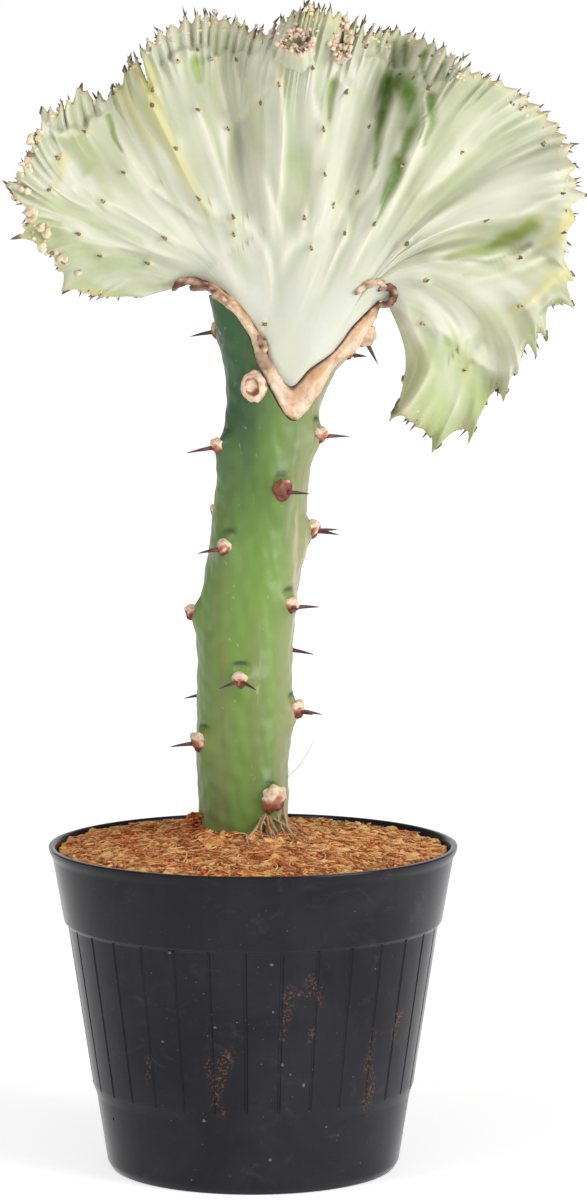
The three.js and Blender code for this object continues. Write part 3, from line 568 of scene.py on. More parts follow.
def rounded(points, radius, steps=4):
    """The polyline with each inner corner turned into a small curve."""
    points = [np.array(p, float) for p in points]
    result = [points[0]]
    for before, here, after in zip(points, points[1:], points[2:]):
        reach = [min(radius, np.linalg.norm(p - here) * 0.45) for p in (before, after)]
        start = here + (before - here) / np.linalg.norm(before - here) * reach[0]
        end = here + (after - here) / np.linalg.norm(after - here) * reach[1]
        for t in np.linspace(0, 1, steps + 1):
            result.append((1 - t) ** 2 * start + 2 * t * (1 - t) * here + t * t * end)
    result.append(points[-1])
    return np.array(result)


def pot_profile():
    band_top = PANEL_FOOT_RADIUS - PANEL_PROUD
    panel_reach = PANEL_TOP_RADIUS - PANEL_FOOT_RADIUS
    panel_rise = COLLAR_FOOT_HEIGHT - 0.8 - PANEL_FOOT_HEIGHT
    outer = [
        [12, 0],
        [FOOT_RADIUS - 1.6, 0],
        [FOOT_RADIUS, 2.6],
        [band_top - 0.5, PANEL_FOOT_HEIGHT - 4.0],
        [PANEL_FOOT_RADIUS, PANEL_FOOT_HEIGHT],
    ]
    for share in np.linspace(0.02, 0.98, PANEL_STEPS):
        outer.append([PANEL_FOOT_RADIUS + panel_reach * share, PANEL_FOOT_HEIGHT + panel_rise * share])
    outer += [
        [PANEL_TOP_RADIUS, COLLAR_FOOT_HEIGHT - 0.8],
        [COLLAR_FOOT_RADIUS, COLLAR_FOOT_HEIGHT],
        [RIM_RADIUS - 1.4, POT_HEIGHT - 4.0],
        [RIM_RADIUS - 0.5, POT_HEIGHT - 2.4],
        [RIM_RADIUS, POT_HEIGHT - 1.2],
        [RIM_RADIUS, POT_HEIGHT],
    ]
    inner = [
        [RIM_RADIUS - 1.9, POT_HEIGHT],
        [RIM_RADIUS - 2.6, POT_HEIGHT - 1.2],
        [COLLAR_FOOT_RADIUS - POT_WALL, COLLAR_FOOT_HEIGHT + 3],
        [PANEL_TOP_RADIUS - PANEL_PROUD - POT_WALL, COLLAR_FOOT_HEIGHT],
        [band_top - POT_WALL, PANEL_FOOT_HEIGHT],
        [FOOT_RADIUS - POT_WALL, 4.5],
        [FOOT_RADIUS - 3.2, POT_FLOOR],
        [12, POT_FLOOR],
    ]
    return rounded(outer + inner, 0.7, 2)


def groove_azimuths():
    """Azimuths in degrees, close together at the grooves' edges, and each one's share of depth."""
    period = 360 / GROOVE_COUNT
    steps = [(-0.62, 0), (-0.42, 0.7), (-0.22, 1), (0.22, 1), (0.42, 0.7), (0.62, 0)]
    steps += [(x, 0) for x in np.linspace(1.6, 9.6, 9)]
    azimuths, shares = [], []
    for k in range(GROOVE_COUNT):
        for offset, share in steps:
            azimuths.append(GROOVE_OFFSET + k * period + offset)
            shares.append(share)
    return np.radians(azimuths), np.array(shares)


def drain_cutter():
    mesh = bmesh.new()
    for k in range(DRAIN_HOLE_COUNT):
        angle = (k + 0.5) * TURN / DRAIN_HOLE_COUNT
        made = bmesh.ops.create_cone(
            mesh,
            cap_ends=True,
            segments=24,
            radius1=DRAIN_HOLE_RADIUS * MM,
            radius2=DRAIN_HOLE_RADIUS * MM,
            depth=8 * MM,
        )
        place = Vector((math.cos(angle), math.sin(angle), 0)) * DRAIN_RING_RADIUS * MM
        place.z = MM
        bmesh.ops.translate(mesh, verts=made["verts"], vec=place)
    data = bpy.data.meshes.new("drain_cutter")
    mesh.to_mesh(data)
    mesh.free()
    cutter = linked("drain_cutter", data)
    return cutter


def cut_away(piece, cutter):
    """Takes the cutter out of the piece for good and removes the cutter."""
    modifier = piece.modifiers.new("cut", "BOOLEAN")
    modifier.operation = "DIFFERENCE"
    modifier.solver = "EXACT"
    modifier.object = cutter
    graph = bpy.context.evaluated_depsgraph_get()
    cut_mesh = bpy.data.meshes.new_from_object(piece.evaluated_get(graph))
    piece.modifiers.clear()
    piece.data = cut_mesh
    bpy.data.objects.remove(cutter)


# Dried splashes of muddy water on the front of the pot: lines of [x, z] and their width
POT_SPLASHES = [
    ([[19.1, 74.5], [21.0, 71.7], [17.9, 70.3], [12.7, 71.1]], 2.0),
    ([[12.7, 71.1], [11.6, 65.7], [11.1, 59.2], [10.1, 54.9]], 2.4),
    ([[19.9, 76.1], [23.1, 66.1]], 1.3),
    ([[-8.1, 49.5], [-10.2, 43.9], [-10.8, 38.4], [-12.4, 32.9], [-9.2, 28.6]], 2.6),
    ([[-14.4, 47.0], [-12.4, 35.1]], 1.6),
    ([[20.0, 57.6], [19.4, 53.3]], 1.4),
    ([[38.4, 29.8], [40.0, 36.2], [38.9, 43.1], [40.0, 48.5], [41.0, 54.9]], 2.0),
    ([[49.6, 58.4], [48.3, 54.3], [47.5, 50.0]], 1.6),
    ([[-34.5, 46.1], [-35.1, 37.1]], 1.2),
]
# Specks of dust on the front of the pot, where the photograph shows them: [x, z]
POT_SPECKS = [
    [17.1, 38.7], [6.5, 81.0], [41.1, 76.8], [-27.3, 84.2], [-29.9, 52.8], [10.1, 46.1],
    [12.7, 42.7], [5.9, 12.8], [-16.1, 26.1], [24.7, 23.1], [-12.3, 59.1], [7.0, 64.7],
    [-20.4, 4.7], [-49.6, 20.4],
]


def pot_stains(points):
    mask = np.zeros(len(points))
    for path, width in POT_SPLASHES:
        mask = np.maximum(mask, stroke(points[:, 0], points[:, 2], path, 1.5 * width))
    return mask * (points[:, 1] < 0)


def make_pot_specks(profile):
    """Flat crumbs of pale dust that stick to the wall."""
    random = np.random.default_rng(83)
    unit, unit_faces = ball(2)
    outer = profile[: np.argmax(profile[:, 1]) + 1]
    period = 360 / GROOVE_COUNT
    places = [list(spot) for spot in POT_SPECKS]
    for _ in range(40):
        places.append([random.uniform(-52, 52), random.uniform(4, 104)])
    shapes = []
    for number, (x, z) in enumerate(places):
        wall_radius = np.interp(z, outer[:, 1], outer[:, 0])
        x = np.clip(x, -0.9 * wall_radius, 0.9 * wall_radius)
        azimuth = math.degrees(math.asin(x / wall_radius))
        from_groove = (azimuth - GROOVE_OFFSET + period / 2) % period - period / 2
        if abs(from_groove) < 0.6 and PANEL_FOOT_HEIGHT < z < COLLAR_FOOT_HEIGHT:
            wall_radius -= GROOVE_DEPTH
        y = -math.sqrt(wall_radius**2 - x * x)
        size = random.uniform(0.35, 0.6) if number < len(POT_SPECKS) else random.uniform(0.1, 0.24)
        local = unit * size * random.uniform(0.7, 1.3, 3)
        local *= random.uniform(0.85, 1.15, (len(unit), 1))
        shapes.append((local + [x, y, z], unit_faces, {}))
    points, faces, _ = gather(shapes)
    make_piece("dust_specks", points, faces, speck_material())


def make_pot():
    profile = pot_profile()
    azimuths, shares = groove_azimuths()
    radius = np.repeat(profile[:, :1], len(azimuths), axis=1)
    height = np.repeat(profile[:, 1:], len(azimuths), axis=1)
    on_panel = smooth(PANEL_FOOT_HEIGHT - 0.6, PANEL_FOOT_HEIGHT, height)
    on_panel *= smooth(COLLAR_FOOT_HEIGHT - 0.6, COLLAR_FOOT_HEIGHT - 1.2, height)
    outside = np.arange(len(profile))[:, None] < np.argmax(profile[:, 1])
    radius = radius - GROOVE_DEPTH * shares * on_panel * outside
    x = radius * np.sin(azimuths)
    y = -radius * np.cos(azimuths)
    rows, columns = radius.shape
    points = np.stack([x, y, height], axis=-1).reshape(-1, 3)
    count = len(points)
    points = np.vstack([points, [0, 0, 0], [0, 0, POT_FLOOR]])
    faces = [
        grid_faces(rows, columns, closed=True),
        fan_faces(count, 0, columns),
        fan_faces(count + 1, count - columns, columns, flip=True),
    ]
    layers = {"stain": pot_stains(points)}
    piece = make_piece("nursery_pot", points, faces, pot_material(), layers, sharp=32)
    cut_away(piece, drain_cutter())
    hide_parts("pot")
    make_pot_specks(profile)


# Stock

STEM_LEVELS = np.arange(70.4, 299.6, 1.0)
# Levels added at each end while the sections are smoothed
STEM_MARGIN = 12


def eased_column(column):
    """A column of STEM_SECTIONS at every level, with its kinks smoothed out."""
    sections = np.array(STEM_SECTIONS)
    padded = np.interp(np.arange(58.4, 311.6, 1.0), sections[:, 0], sections[:, column])
    window = np.hanning(15)
    eased = np.convolve(padded, window / window.sum(), mode="same")
    return eased[STEM_MARGIN : STEM_MARGIN + len(STEM_LEVELS)]


STEM_CENTRE, STEM_HALF_WIDTH, STEM_HALF_DEPTH = (eased_column(k) for k in (1, 2, 3))


def stem_surface(azimuth, height, extra):
    """Points on the stock's skin: azimuth 0 faces the viewer and grows to the right."""
    centre = np.interp(height, STEM_LEVELS, STEM_CENTRE)
    half_width = np.interp(height, STEM_LEVELS, STEM_HALF_WIDTH)
    half_depth = np.interp(height, STEM_LEVELS, STEM_HALF_DEPTH)
    arms = smooth(262, 292, height)
    power = mix(2.1, 2.8, arms)
    s = np.sin(azimuth)
    c = -np.cos(azimuth)
    scale = (np.abs(s) ** power + np.abs(c) ** power) ** (-1 / power)
    ribs = 0.3 * np.cos(5 * azimuth + height / 46) * smooth(112, 135, height) * (1 - arms)
    x = centre + (half_width + ribs + extra) * scale * s
    y = (half_depth + ribs + extra) * scale * c
    return np.stack([x, y, height + 0 * x], axis=-1)


def tubercle_spots():
    spots = []
    for k in range(TUBERCLE_COUNT):
        lift, turn = TUBERCLE_SHIFTS.get(k, (0, 0))
        height = TUBERCLE_START_HEIGHT + TUBERCLE_RISE * k + lift
        azimuth = math.radians(TUBERCLE_START_AZIMUTH + TUBERCLE_TURN * k + turn)
        spots.append((k, height, azimuth))
    return spots


def cushion_fields(azimuth, height):
    """The rise of the skin under the tubercles, and the dark crease above each."""
    rise = np.zeros_like(azimuth)
    crease = np.zeros_like(azimuth)
    for _, spot_height, spot_azimuth in tubercle_spots():
        turn = np.arctan2(np.sin(azimuth - spot_azimuth), np.cos(azimuth - spot_azimuth))
        across = turn * 16
        along = height - spot_height
        stretch = np.where(along > 0, 7.0, 12.0)
        reach = (across / CUSHION_RADIUS) ** 2 + (along / stretch) ** 2
        swelling = np.exp(-2.3 * reach**0.75)
        rise = np.maximum(rise, CUSHION_HEIGHT * swelling)
        arc = along - 5.6 + across**2 / 16
        crease = np.maximum(crease, np.exp(-((arc / 0.8) ** 2) - (across / 2.6) ** 4))
    return rise - 0.35 * crease, crease


def cut_height(x):
    """Where the stock ends under the graft strap, at each x."""
    line = spline(STOCK_CUT, np.linspace(0, 1, 200))
    return np.interp(x, line[:, 0], line[:, 1])


def stem_top(azimuth):
    low = np.full_like(azimuth, 250.0)
    high = np.full_like(azimuth, 299.5)
    for _ in range(24):
        middle = (low + high) / 2
        x = stem_surface(azimuth, middle, 0)[..., 0]
        above = middle > cut_height(x) + 0.6
        high = np.where(above, middle, high)
        low = np.where(above, low, middle)
    return low


def make_stem():
    columns, rows = 200, 300
    azimuth = np.linspace(0, TURN, columns, endpoint=False)
    t = np.linspace(0, 1, rows)[:, None]
    height = mix(96.0, stem_top(azimuth)[None, :], t)
    azimuth = np.repeat(azimuth[None, :], rows, axis=0)
    rise, crease = cushion_fields(azimuth, height)
    plain = stem_surface(azimuth, height, 0)
    rough = 0.16 * ripple(plain, 3.0, 11) + 0.25 * ripple(plain, 11.0, 12)
    points = stem_surface(azimuth, height, rise + rough).reshape(-1, 3)
    faces = grid_faces(rows, columns, closed=True)
    layers = {
        "height": height,
        "cushion": np.clip(crease, 0, 1),
        # left: where shade is painted on the stem; right: where a sheen is painted
        "left": smooth(-0.15, 0.7, -np.sin(azimuth)),
        "right": smooth(0.45, 1.0, np.sin(azimuth)),
    }
    piece = make_piece("stem", points, faces, stem_material(), layers)
    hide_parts("rootstock")


# Shapes that are scattered: lumps, spines and fibres gathered into one mesh


def ball(subdivisions):
    mesh = bmesh.new()
    bmesh.ops.create_icosphere(mesh, subdivisions=subdivisions, radius=1)
    mesh.verts.ensure_lookup_table()
    points = np.array([v.co for v in mesh.verts])
    faces = np.array([[v.index for v in f.verts] for f in mesh.faces])
    mesh.free()
    return points, faces


def tapered(path, radii, sides):
    """A closed tube of triangles along a path, ending in a point, and each point's place along it."""
    path = np.asarray(path, float)
    count = len(path)
    forward = np.gradient(path, axis=0)
    forward /= np.linalg.norm(forward, axis=1)[:, None]
    helper = np.array([0.0, 0.0, 1.0]) if abs(forward[0][2]) < 0.9 else np.array([1.0, 0.0, 0.0])
    side = np.cross(forward, helper)
    side /= np.linalg.norm(side, axis=1)[:, None]
    other = np.cross(forward, side)
    angles = np.linspace(0, TURN, sides, endpoint=False)
    rings = path[:, None, :] + np.asarray(radii)[:, None, None] * (
        np.cos(angles)[None, :, None] * side[:, None, :] + np.sin(angles)[None, :, None] * other[:, None, :]
    )
    points = np.vstack([rings.reshape(-1, 3), path[0], path[-1]])
    quads = grid_faces(count, sides, closed=True)
    start, end = count * sides, count * sides + 1
    last_ring = start - sides
    faces = [quads[:, [0, 1, 2]], quads[:, [0, 2, 3]]]
    faces += [fan_faces(start, 0, sides), fan_faces(end, last_ring, sides, flip=True)]
    along = np.append(np.repeat(np.linspace(0, 1, count), sides), [0, 1])
    return points, np.vstack(faces), along


def gather(shapes):
    """Several (points, triangles, {layer: values}) as one."""
    points, faces, layers, start = [], [], {}, 0
    for shape_points, shape_faces, shape_layers in shapes:
        points.append(shape_points)
        faces.append(np.asarray(shape_faces) + start)
        start += len(shape_points)
        for layer, values in shape_layers.items():
            layers.setdefault(layer, []).append(np.broadcast_to(values, len(shape_points)))
    return np.vstack(points), np.vstack(faces), {k: np.concatenate(v) for k, v in layers.items()}


def frame_of(outward):
    """Three square directions: sideways, upwards and outwards."""
    outward = np.asarray(outward, float) / np.linalg.norm(outward)
    side = np.cross([0, 0, 1], outward)
    side /= np.linalg.norm(side)
    return np.array([side, np.cross(outward, side), outward])


# Tubercles that have lost a spine or both: the sides whose spines are left
SPINE_SIDES = {
    0: (), 2: (-1,), 7: (), 10: (-1,), 12: (), 13: (1,), 14: (), 15: (-1,), 16: (1,), 19: (-1,),
}


# Half widths of the shields that differ from the rest
SHIELD_SIZES = {0: 4.5, BROWN_TUBERCLE: 3.3, SMALL_TUBERCLE: 1.8}
SCAR_SIZE = 4.7
SMALL_SPINE_SHARE = 0.4


def carve_scar(unit, local, lumps):
    """Cuts the scar's raised ring and off-centre hollow into local. Returns its lumps and dark share."""
    from_middle = np.hypot(unit[:, 0], unit[:, 1])
    outer_side = unit[:, 2] > 0
    hollow = np.exp(-((unit[:, 0] - 0.22) ** 2 + (unit[:, 1] + 0.3) ** 2) / 0.1)
    local[:, 2] += 0.7 * bell(from_middle, 0.2, 0.66) * outer_side
    local[:, 2] -= (0.5 * bell(from_middle, 0.4) + 1.3 * hollow) * outer_side
    under = 0.1 + 0.1 * ripple(local, 1.4, 8) + 0.6 * hollow
    under = under + 0.5 * bell(from_middle, 0.1, 0.5) + 0.3 * smooth(0.86, 1.0, from_middle)
    return 1 + 0.4 * (lumps - 1), under


def shield_shape(index, unit, random):
    """One shield about its own middle, and how far each point of it is in the dark part below."""
    scar = index == SCAR_TUBERCLE
    usual = SCAR_SIZE if scar else random.uniform(2.3, 3.0)
    size = SHIELD_SIZES.get(index, usual)
    sizes = np.array([size, size * random.uniform(1.0, 1.2), 1.9 if scar else 2.6])
    local = unit * sizes
    if not scar:
        # Broad at the top and drawn in towards the spines
        local[:, 0] *= 1 + 0.22 * unit[:, 1]
        local[:, 2] += 0.2 * unit[:, 1] * size
    lumps = 1 + 0.1 * ripple(local, 2.0, 50 + index) + 0.05 * ripple(local, 1.0, 90 + index)
    under = 0.45 - 0.5 * unit[:, 1] + 0.16 * ripple(local, 1.5, 7 + index)
    if index == BROWN_TUBERCLE:
        under = under + 0.55
    if scar:
        lumps, under = carve_scar(unit, local, lumps)
    return local * lumps[:, None], np.clip(under, 0, 1)


def stock_spine(seat, axes, side, share, random):
    """One spine of a pair, on the left for side -1 and on the right for 1."""
    length = SPINE_LENGTH * random.uniform(0.75, 1.1) * share
    spread = math.radians(38 * random.uniform(0.85, 1.2)) * side
    droop = math.radians(random.uniform(-5, 12))
    direction = axes.T @ np.array([math.sin(spread), -math.sin(droop), math.cos(spread)])
    start = seat + axes.T @ np.array([side * 0.9, -0.5, 1.8])
    t = np.linspace(0, 1, 7)[:, None]
    path = start + direction * (length + 1.6) * t + np.array([0, 0, -0.5]) * t**2
    points, faces, along = tapered(path, 0.75 * (1 - t[:, 0]) ** 0.8 + 0.06, 8)
    return points, faces, {"along": along}


def make_shields():
    """Corky shields on the stock, pale above and red-brown below, with the spines they still have."""
    unit, unit_faces = ball(4)
    shields, spines = [], []
    random = np.random.default_rng(41)
    for index, height, azimuth in tubercle_spots():
        axes = frame_of(np.array([math.sin(azimuth), -math.cos(azimuth), 0]))
        seat = stem_surface(np.array(azimuth), np.array(height), CUSHION_HEIGHT * 0.72)
        local, under = shield_shape(index, unit, random)
        shields.append((seat + local @ axes, unit_faces, {"under": under}))
        if index == SCAR_TUBERCLE:
            continue
        share = SMALL_SPINE_SHARE if index == SMALL_TUBERCLE else 1
        for side in SPINE_SIDES.get(index, (-1, 1)):
            spines.append(stock_spine(seat, axes, side, share, random))
    points, faces, layers = gather(shields)
    make_piece("corky_shields", points, faces, cork_material(), layers)
    points, faces, layers = gather(spines)
    make_piece("stem_spines", points, faces, spine_material(), layers)


# Graft strap

# Where the strap starts and ends, as shares of the cut's length
STRAP_START = 0.004
STRAP_END = 0.985


def strap_ring_points(t, angle):
    """The strap's rounded skin at places along it and angles round it, before its lumps."""
    low = spline(STOCK_CUT, t)
    high = spline(CREST_CUT, t)
    half_depth = spline([[d] for d in GRAFT_HALF_DEPTHS], t)[..., 0] + 0.8
    c = np.cos(angle)
    s = np.sin(angle)
    across = 0.53 - 0.58 * np.sign(c) * np.abs(c) ** 0.7
    depth = np.sign(s) * np.abs(s) ** 0.4
    x = mix(low[..., 0], high[..., 0], across)
    z = mix(low[..., 1], high[..., 1], across)
    return np.stack([x, -depth * half_depth, z], axis=-1), across


def make_callus():
    stations, sides = 420, 56
    t = np.linspace(STRAP_START, STRAP_END, stations)[:, None] * np.ones(sides)
    angle = np.linspace(0, TURN, sides, endpoint=False)[None, :] * np.ones((stations, 1))
    points, across = strap_ring_points(t, angle)
    centre = points.mean(axis=1, keepdims=True)
    outward = points - centre
    outward /= np.linalg.norm(outward, axis=-1, keepdims=True)
    lumps = 0.35 * ripple(points, 3.2, 21) + 0.22 * ripple(points, 1.3, 22)
    grooves = 0.3 * np.sin(across * 9 + 2.2 * ripple(points * [1, 0.2, 1], 9, 23))
    ends = smooth(0, 0.02, np.minimum(t - STRAP_START, STRAP_END - t))
    points = points + outward * (lumps + grooves)[..., None]
    points = mix(centre, points, (0.35 + 0.65 * ends)[..., None])
    on_right = smooth(0.5, 0.56, t)
    # Dark brown line along the seam with the crest on the right arm, partly painted shade in that seam
    edge_line = bell(across, 0.1, 0.97) * on_right
    torn = smooth(0.55, 1.2, ripple(points, 5, 24)) * 0.5
    tips = smooth(0.13, 0.04, t) + smooth(0.93, 0.98, t)
    crease = np.clip(edge_line + torn + 0.75 * tips, 0, 1)
    cap_centres = [points[0].mean(axis=0), points[-1].mean(axis=0)]
    flat = np.vstack([points.reshape(-1, 3), cap_centres])
    count = stations * sides
    faces = [
        grid_faces(stations, sides, closed=True)[:, ::-1],
        fan_faces(count, 0, sides, flip=True),
        fan_faces(count + 1, count - sides, sides),
    ]
    inner = smooth(0.45, 1.0, across + 0.12 * ripple(points, 4, 25)) * (1 - 0.5 * smooth(0.42, 0.5, t))
    inner *= 1 - 0.8 * bell(t, 0.09, 0.5)
    inner = np.maximum(inner, 0.8 * on_right * smooth(0.4, 0.6, across) * smooth(0.9, 0.7, across))
    layers = {"crease": np.append(crease, [1, 1]), "inner": np.append(inner, [0, 0])}
    piece = make_piece("graft_strap", flat, faces, callus_material(), layers)
    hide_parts("graft_callus")


# Dried scraps on the graft: [x, y, z] points, radius, and share of dark brown
GRAFT_SCRAPS = [
    ([[34.5, -11, 300.6], [38.0, -11.5, 303.2], [42.0, -10.5, 304.6], [45.2, -8.5, 303.0]], 1.3, 0.25),
    ([
        [42.6, -8, 296.6], [46.4, -7.5, 297.2], [47.6, -6, 300.2], [45.6, -6, 302.8], [42.6, -7, 301.8]
    ], 1.5, 0.9),
    ([[-27.0, -4.5, 301.2], [-24.6, -5.5, 303.8], [-20.0, -6, 304.6], [-15.4, -7, 303.4]], 1.4, 0.8),
    ([[-15.8, -7.5, 303.0], [-11.2, -9.5, 299.6], [-7.2, -11, 295.8]], 1.2, 0.55),
    ([[2.2, -14.4, 287.0], [3.6, -15.0, 284.0], [4.2, -15.4, 281.0]], 1.5, 0.6),
]


def make_graft_scraps(front):
    """The knob with its spine on the strap's right arm, and the torn, curled scraps of skin."""
    flat = front.reshape(-1, 3)
    random = np.random.default_rng(59)
    unit, unit_faces = ball(4)
    knob = unit * KNOB_RADIUS * (1 + 0.13 * ripple(unit, 0.55, 71) + 0.06 * ripple(unit, 0.25, 72))[:, None]
    under = np.clip(0.35 - 0.5 * unit[:, 2] + 0.2 * ripple(unit, 0.5, 73), 0, 1)
    shapes = [(knob * [1.15, 0.9, 1.0] + KNOB_CENTRE, unit_faces, {"crease": 0.6 * under**2})]
    for line, radius, brown in GRAFT_SCRAPS:
        t = np.linspace(0, 1, 26)
        path = spline(line, t)
        for place in path:
            away = np.hypot(flat[:, 0] - place[0], flat[:, 2] - place[2])
            if away.min() < 1.5:
                place[1] = min(place[1], flat[np.argmin(away), 1] - 0.4 * radius)
        radii = radius * (0.35 + 0.65 * np.sin(t * math.pi) ** 0.6)
        radii = radii * (1 + 0.2 * random.normal(0, 1, 26) * 0.5)
        shape, faces, _ = tapered(path, radii, 10)
        shape = shape + 0.25 * ripple(shape, 1.6, 74)[:, None]
        shade = np.clip(brown + 0.35 * ripple(shape, 2.0, 75), 0, 1)
        shapes.append((shape, faces, {"crease": shade}))
    points, faces, layers = gather(shapes)
    make_piece("graft_scraps", points, faces, callus_material(), layers)
    direction = np.array(KNOB_SPINE_DIRECTION) / np.linalg.norm(KNOB_SPINE_DIRECTION)
    start = np.array(KNOB_CENTRE) + direction * (KNOB_RADIUS - 1.2)
    t = np.linspace(0, 1, 7)[:, None]
    radii = 0.85 * (1 - t[:, 0]) ** 0.75 + 0.06
    shape, faces, along = tapered(start + direction * (SPINE_LENGTH + 1.2) * t, radii, 8)
    make_piece("graft_spine", shape, faces, spine_material(), {"along": along})


# Crest


def fan_flat(u, v):
    """The crest's sheet seen from the front, as [x, z], at places along it and outwards."""
    cut = spline(CREST_CUT, u)
    near = spline(FAN_NEAR, u)
    far = spline(FAN_FAR, u)
    margin = spline(MARGIN, u)[..., [0, 2]]
    w0 = -4.5 * (v - 1 / 3) * (v - 2 / 3) * (v - 1)
    w1 = 13.5 * v * (v - 2 / 3) * (v - 1)
    w2 = -13.5 * v * (v - 1 / 3) * (v - 1)
    w3 = 4.5 * v * (v - 1 / 3) * (v - 2 / 3)
    return w0[..., None] * cut + w1[..., None] * near + w2[..., None] * far + w3[..., None] * margin


def fan_spread(u, v):
    """The width in millimetres that one unit of u covers."""
    step = fan_flat(u + FAN_STEP, v) - fan_flat(u - FAN_STEP, v)
    return np.maximum(1, np.hypot(step[..., 0], step[..., 1]) / (2 * FAN_STEP))


def fan_depth(u, v):
    depth = spline(MARGIN, u)[..., 1] * np.maximum(v, 0) ** 2.2
    for u0, v0, reach_u, reach_v, push in FAN_POCKETS:
        gap = ((u - u0) / reach_u) ** 2 + ((v - v0) / reach_v) ** 2
        depth = depth + push * np.exp(-gap) * smooth(0, 0.3, v)
    return depth


def lip(v):
    """The margin is rounded over: 1 until the lip starts and 0 at its edge."""
    return np.sqrt(np.clip(1 - (np.maximum(v - LIP_START, 0) / (1 - LIP_START)) ** 2, 0, 1))


def at_places(u, table):
    """A value read from a short table of [place along the fan, value]."""
    table = np.array(table)
    return np.interp(u, table[:, 0], table[:, 1])


def tooth_places():
    """Places along the fan of the tooth tips, unevenly spaced."""
    random = np.random.default_rng(23)
    places = [0.0]
    while len(places) <= TEETH:
        here = places[-1] / TEETH
        places.append(places[-1] + at_places(here, TOOTH_SPACING) * random.uniform(0.6, 1.45))
    places = np.array(places)
    return places / places[-1]


def tooth_columns():
    """The fan's columns: place along the fan, share of the way from tip to valley, tooth number."""
    tips = tooth_places()
    number = np.arange(TEETH * COLUMNS_PER_TOOTH + 1) / COLUMNS_PER_TOOTH
    u = np.interp(number, np.arange(TEETH + 1), tips)
    from_tip = np.abs(number - np.round(number)) * 2
    return u, from_tip, np.round(number).astype(int)


def fan_rows(side):
    """Places outwards of the rows: close together where the relief is fine."""
    counts = (44, 20, 9) if side == -1 else (20, 16, 8)
    inner = np.linspace(0, STRIP_START, counts[0], endpoint=False)
    strip = np.linspace(STRIP_START, LIP_START, counts[1], endpoint=False)
    edge = LIP_START + (1 - LIP_START) * np.sin(np.linspace(0, math.pi / 2, counts[2]))
    return np.concatenate([inner, strip, edge])


def scattered_ribs(u, v, spread, count, limit, start, seed):
    """Soft ribs at irregular places, each of its own height and starting at its own distance out."""
    random = np.random.default_rng(seed)
    places = (np.arange(count) + random.uniform(0.15, 0.85, count)) / count
    heights = random.uniform(0.2, 1, count)
    starts = start + random.uniform(-0.08, 0.2, count)
    ends = random.uniform(0.75, 1.3, count)
    field = np.zeros_like(u)
    for place, height, begin, end in zip(places, heights, starts, ends):
        away = np.abs(u - place) * count / 0.5
        span = smooth(begin, begin + 0.25, v) * smooth(end + 0.15, end, v)
        field = np.maximum(field, height * np.exp(-(away**1.5)) * span)
    return np.minimum(limit, 0.14 * spread / count) * (2 * field - 0.5)


def rib_rise(u, v, spread, share):
    sheet = np.stack([u * 30, v * 3.5, 0 * v], axis=-1)
    wandering = u + 0.009 * ripple(sheet, 1.6, 301) + 0.002 * ripple(sheet, 0.6, 302)
    ribs = scattered_ribs(wandering, v, spread, 13, 1.5, 0.0, 311)
    ribs += share * scattered_ribs(wandering, v, spread, 29, 1.1, 0.3, 312)
    ribs += share * scattered_ribs(wandering, v, spread, 61, 0.6, 0.55, 313)
    return ribs


def fan_half_thickness(u, v):
    cut = spline([[d] for d in GRAFT_HALF_DEPTHS], u)[..., 0]
    body = mix(cut - 0.4, MARGIN_HALF_THICKNESS, smooth(0, 0.85, v))
    ends = mix(0.5, 1, smooth(0, 0.03, np.minimum(u, 1 - u)))
    return body * ends


def slant_factor(u, v, spread):
    """How much a slanting stretch is thickened in depth to keep its true thickness."""
    change = (fan_depth(u + FAN_STEP, v) - fan_depth(u - FAN_STEP, v)) / (2 * FAN_STEP)
    return np.minimum(mix(1.05, 1.8, smooth(0.3, 0.6, v)), np.hypot(1, change / spread))


LINE_STEPS = 20


def along_line(x, z, line, reach):
    """Distance to a smooth line of [x, z] points, less than 0 on its side towards the light at the
    upper left, with the share along it and the points near enough."""
    near = (x > min(p[0] for p in line) - reach) & (x < max(p[0] for p in line) + reach)
    near &= (z > min(p[1] for p in line) - reach) & (z < max(p[1] for p in line) + reach)
    px, pz = x[near], z[near]
    path = spline(line, np.linspace(0, 1, LINE_STEPS)) if len(line) > 2 else np.array(line, float)
    away = np.full(px.shape, np.inf)
    share = np.zeros(px.shape)
    last = len(path) - 1
    for index in range(last):
        (x0, z0), (x1, z1) = path[index], path[index + 1]
        dx, dz = x1 - x0, z1 - z0
        t = np.clip(((px - x0) * dx + (pz - z0) * dz) / (dx * dx + dz * dz), 0, 1)
        here = np.hypot(px - x0 - t * dx, pz - z0 - t * dz)
        shaded = ((px - x0) * dz - (pz - z0) * dx) * (dx + dz) > 0
        closer = here < np.abs(away)
        away = np.where(closer, np.where(shaded, here, -here), away)
        share = np.where(closer, (index + t) / last, share)
    return away, share, near


def stroke(x, z, line, width):
    """1 on a line of [x, z] points that narrows from its first point, and 0 at its edges."""
    mask = np.zeros_like(x)
    away, share, near = along_line(x, z, line, width * 1.3)
    narrowed = width * mix(1, 0.45, share)
    mask[near] = smooth(narrowed, narrowed * 0.1, np.abs(away)) * mix(1, 0.75, share)
    return mask


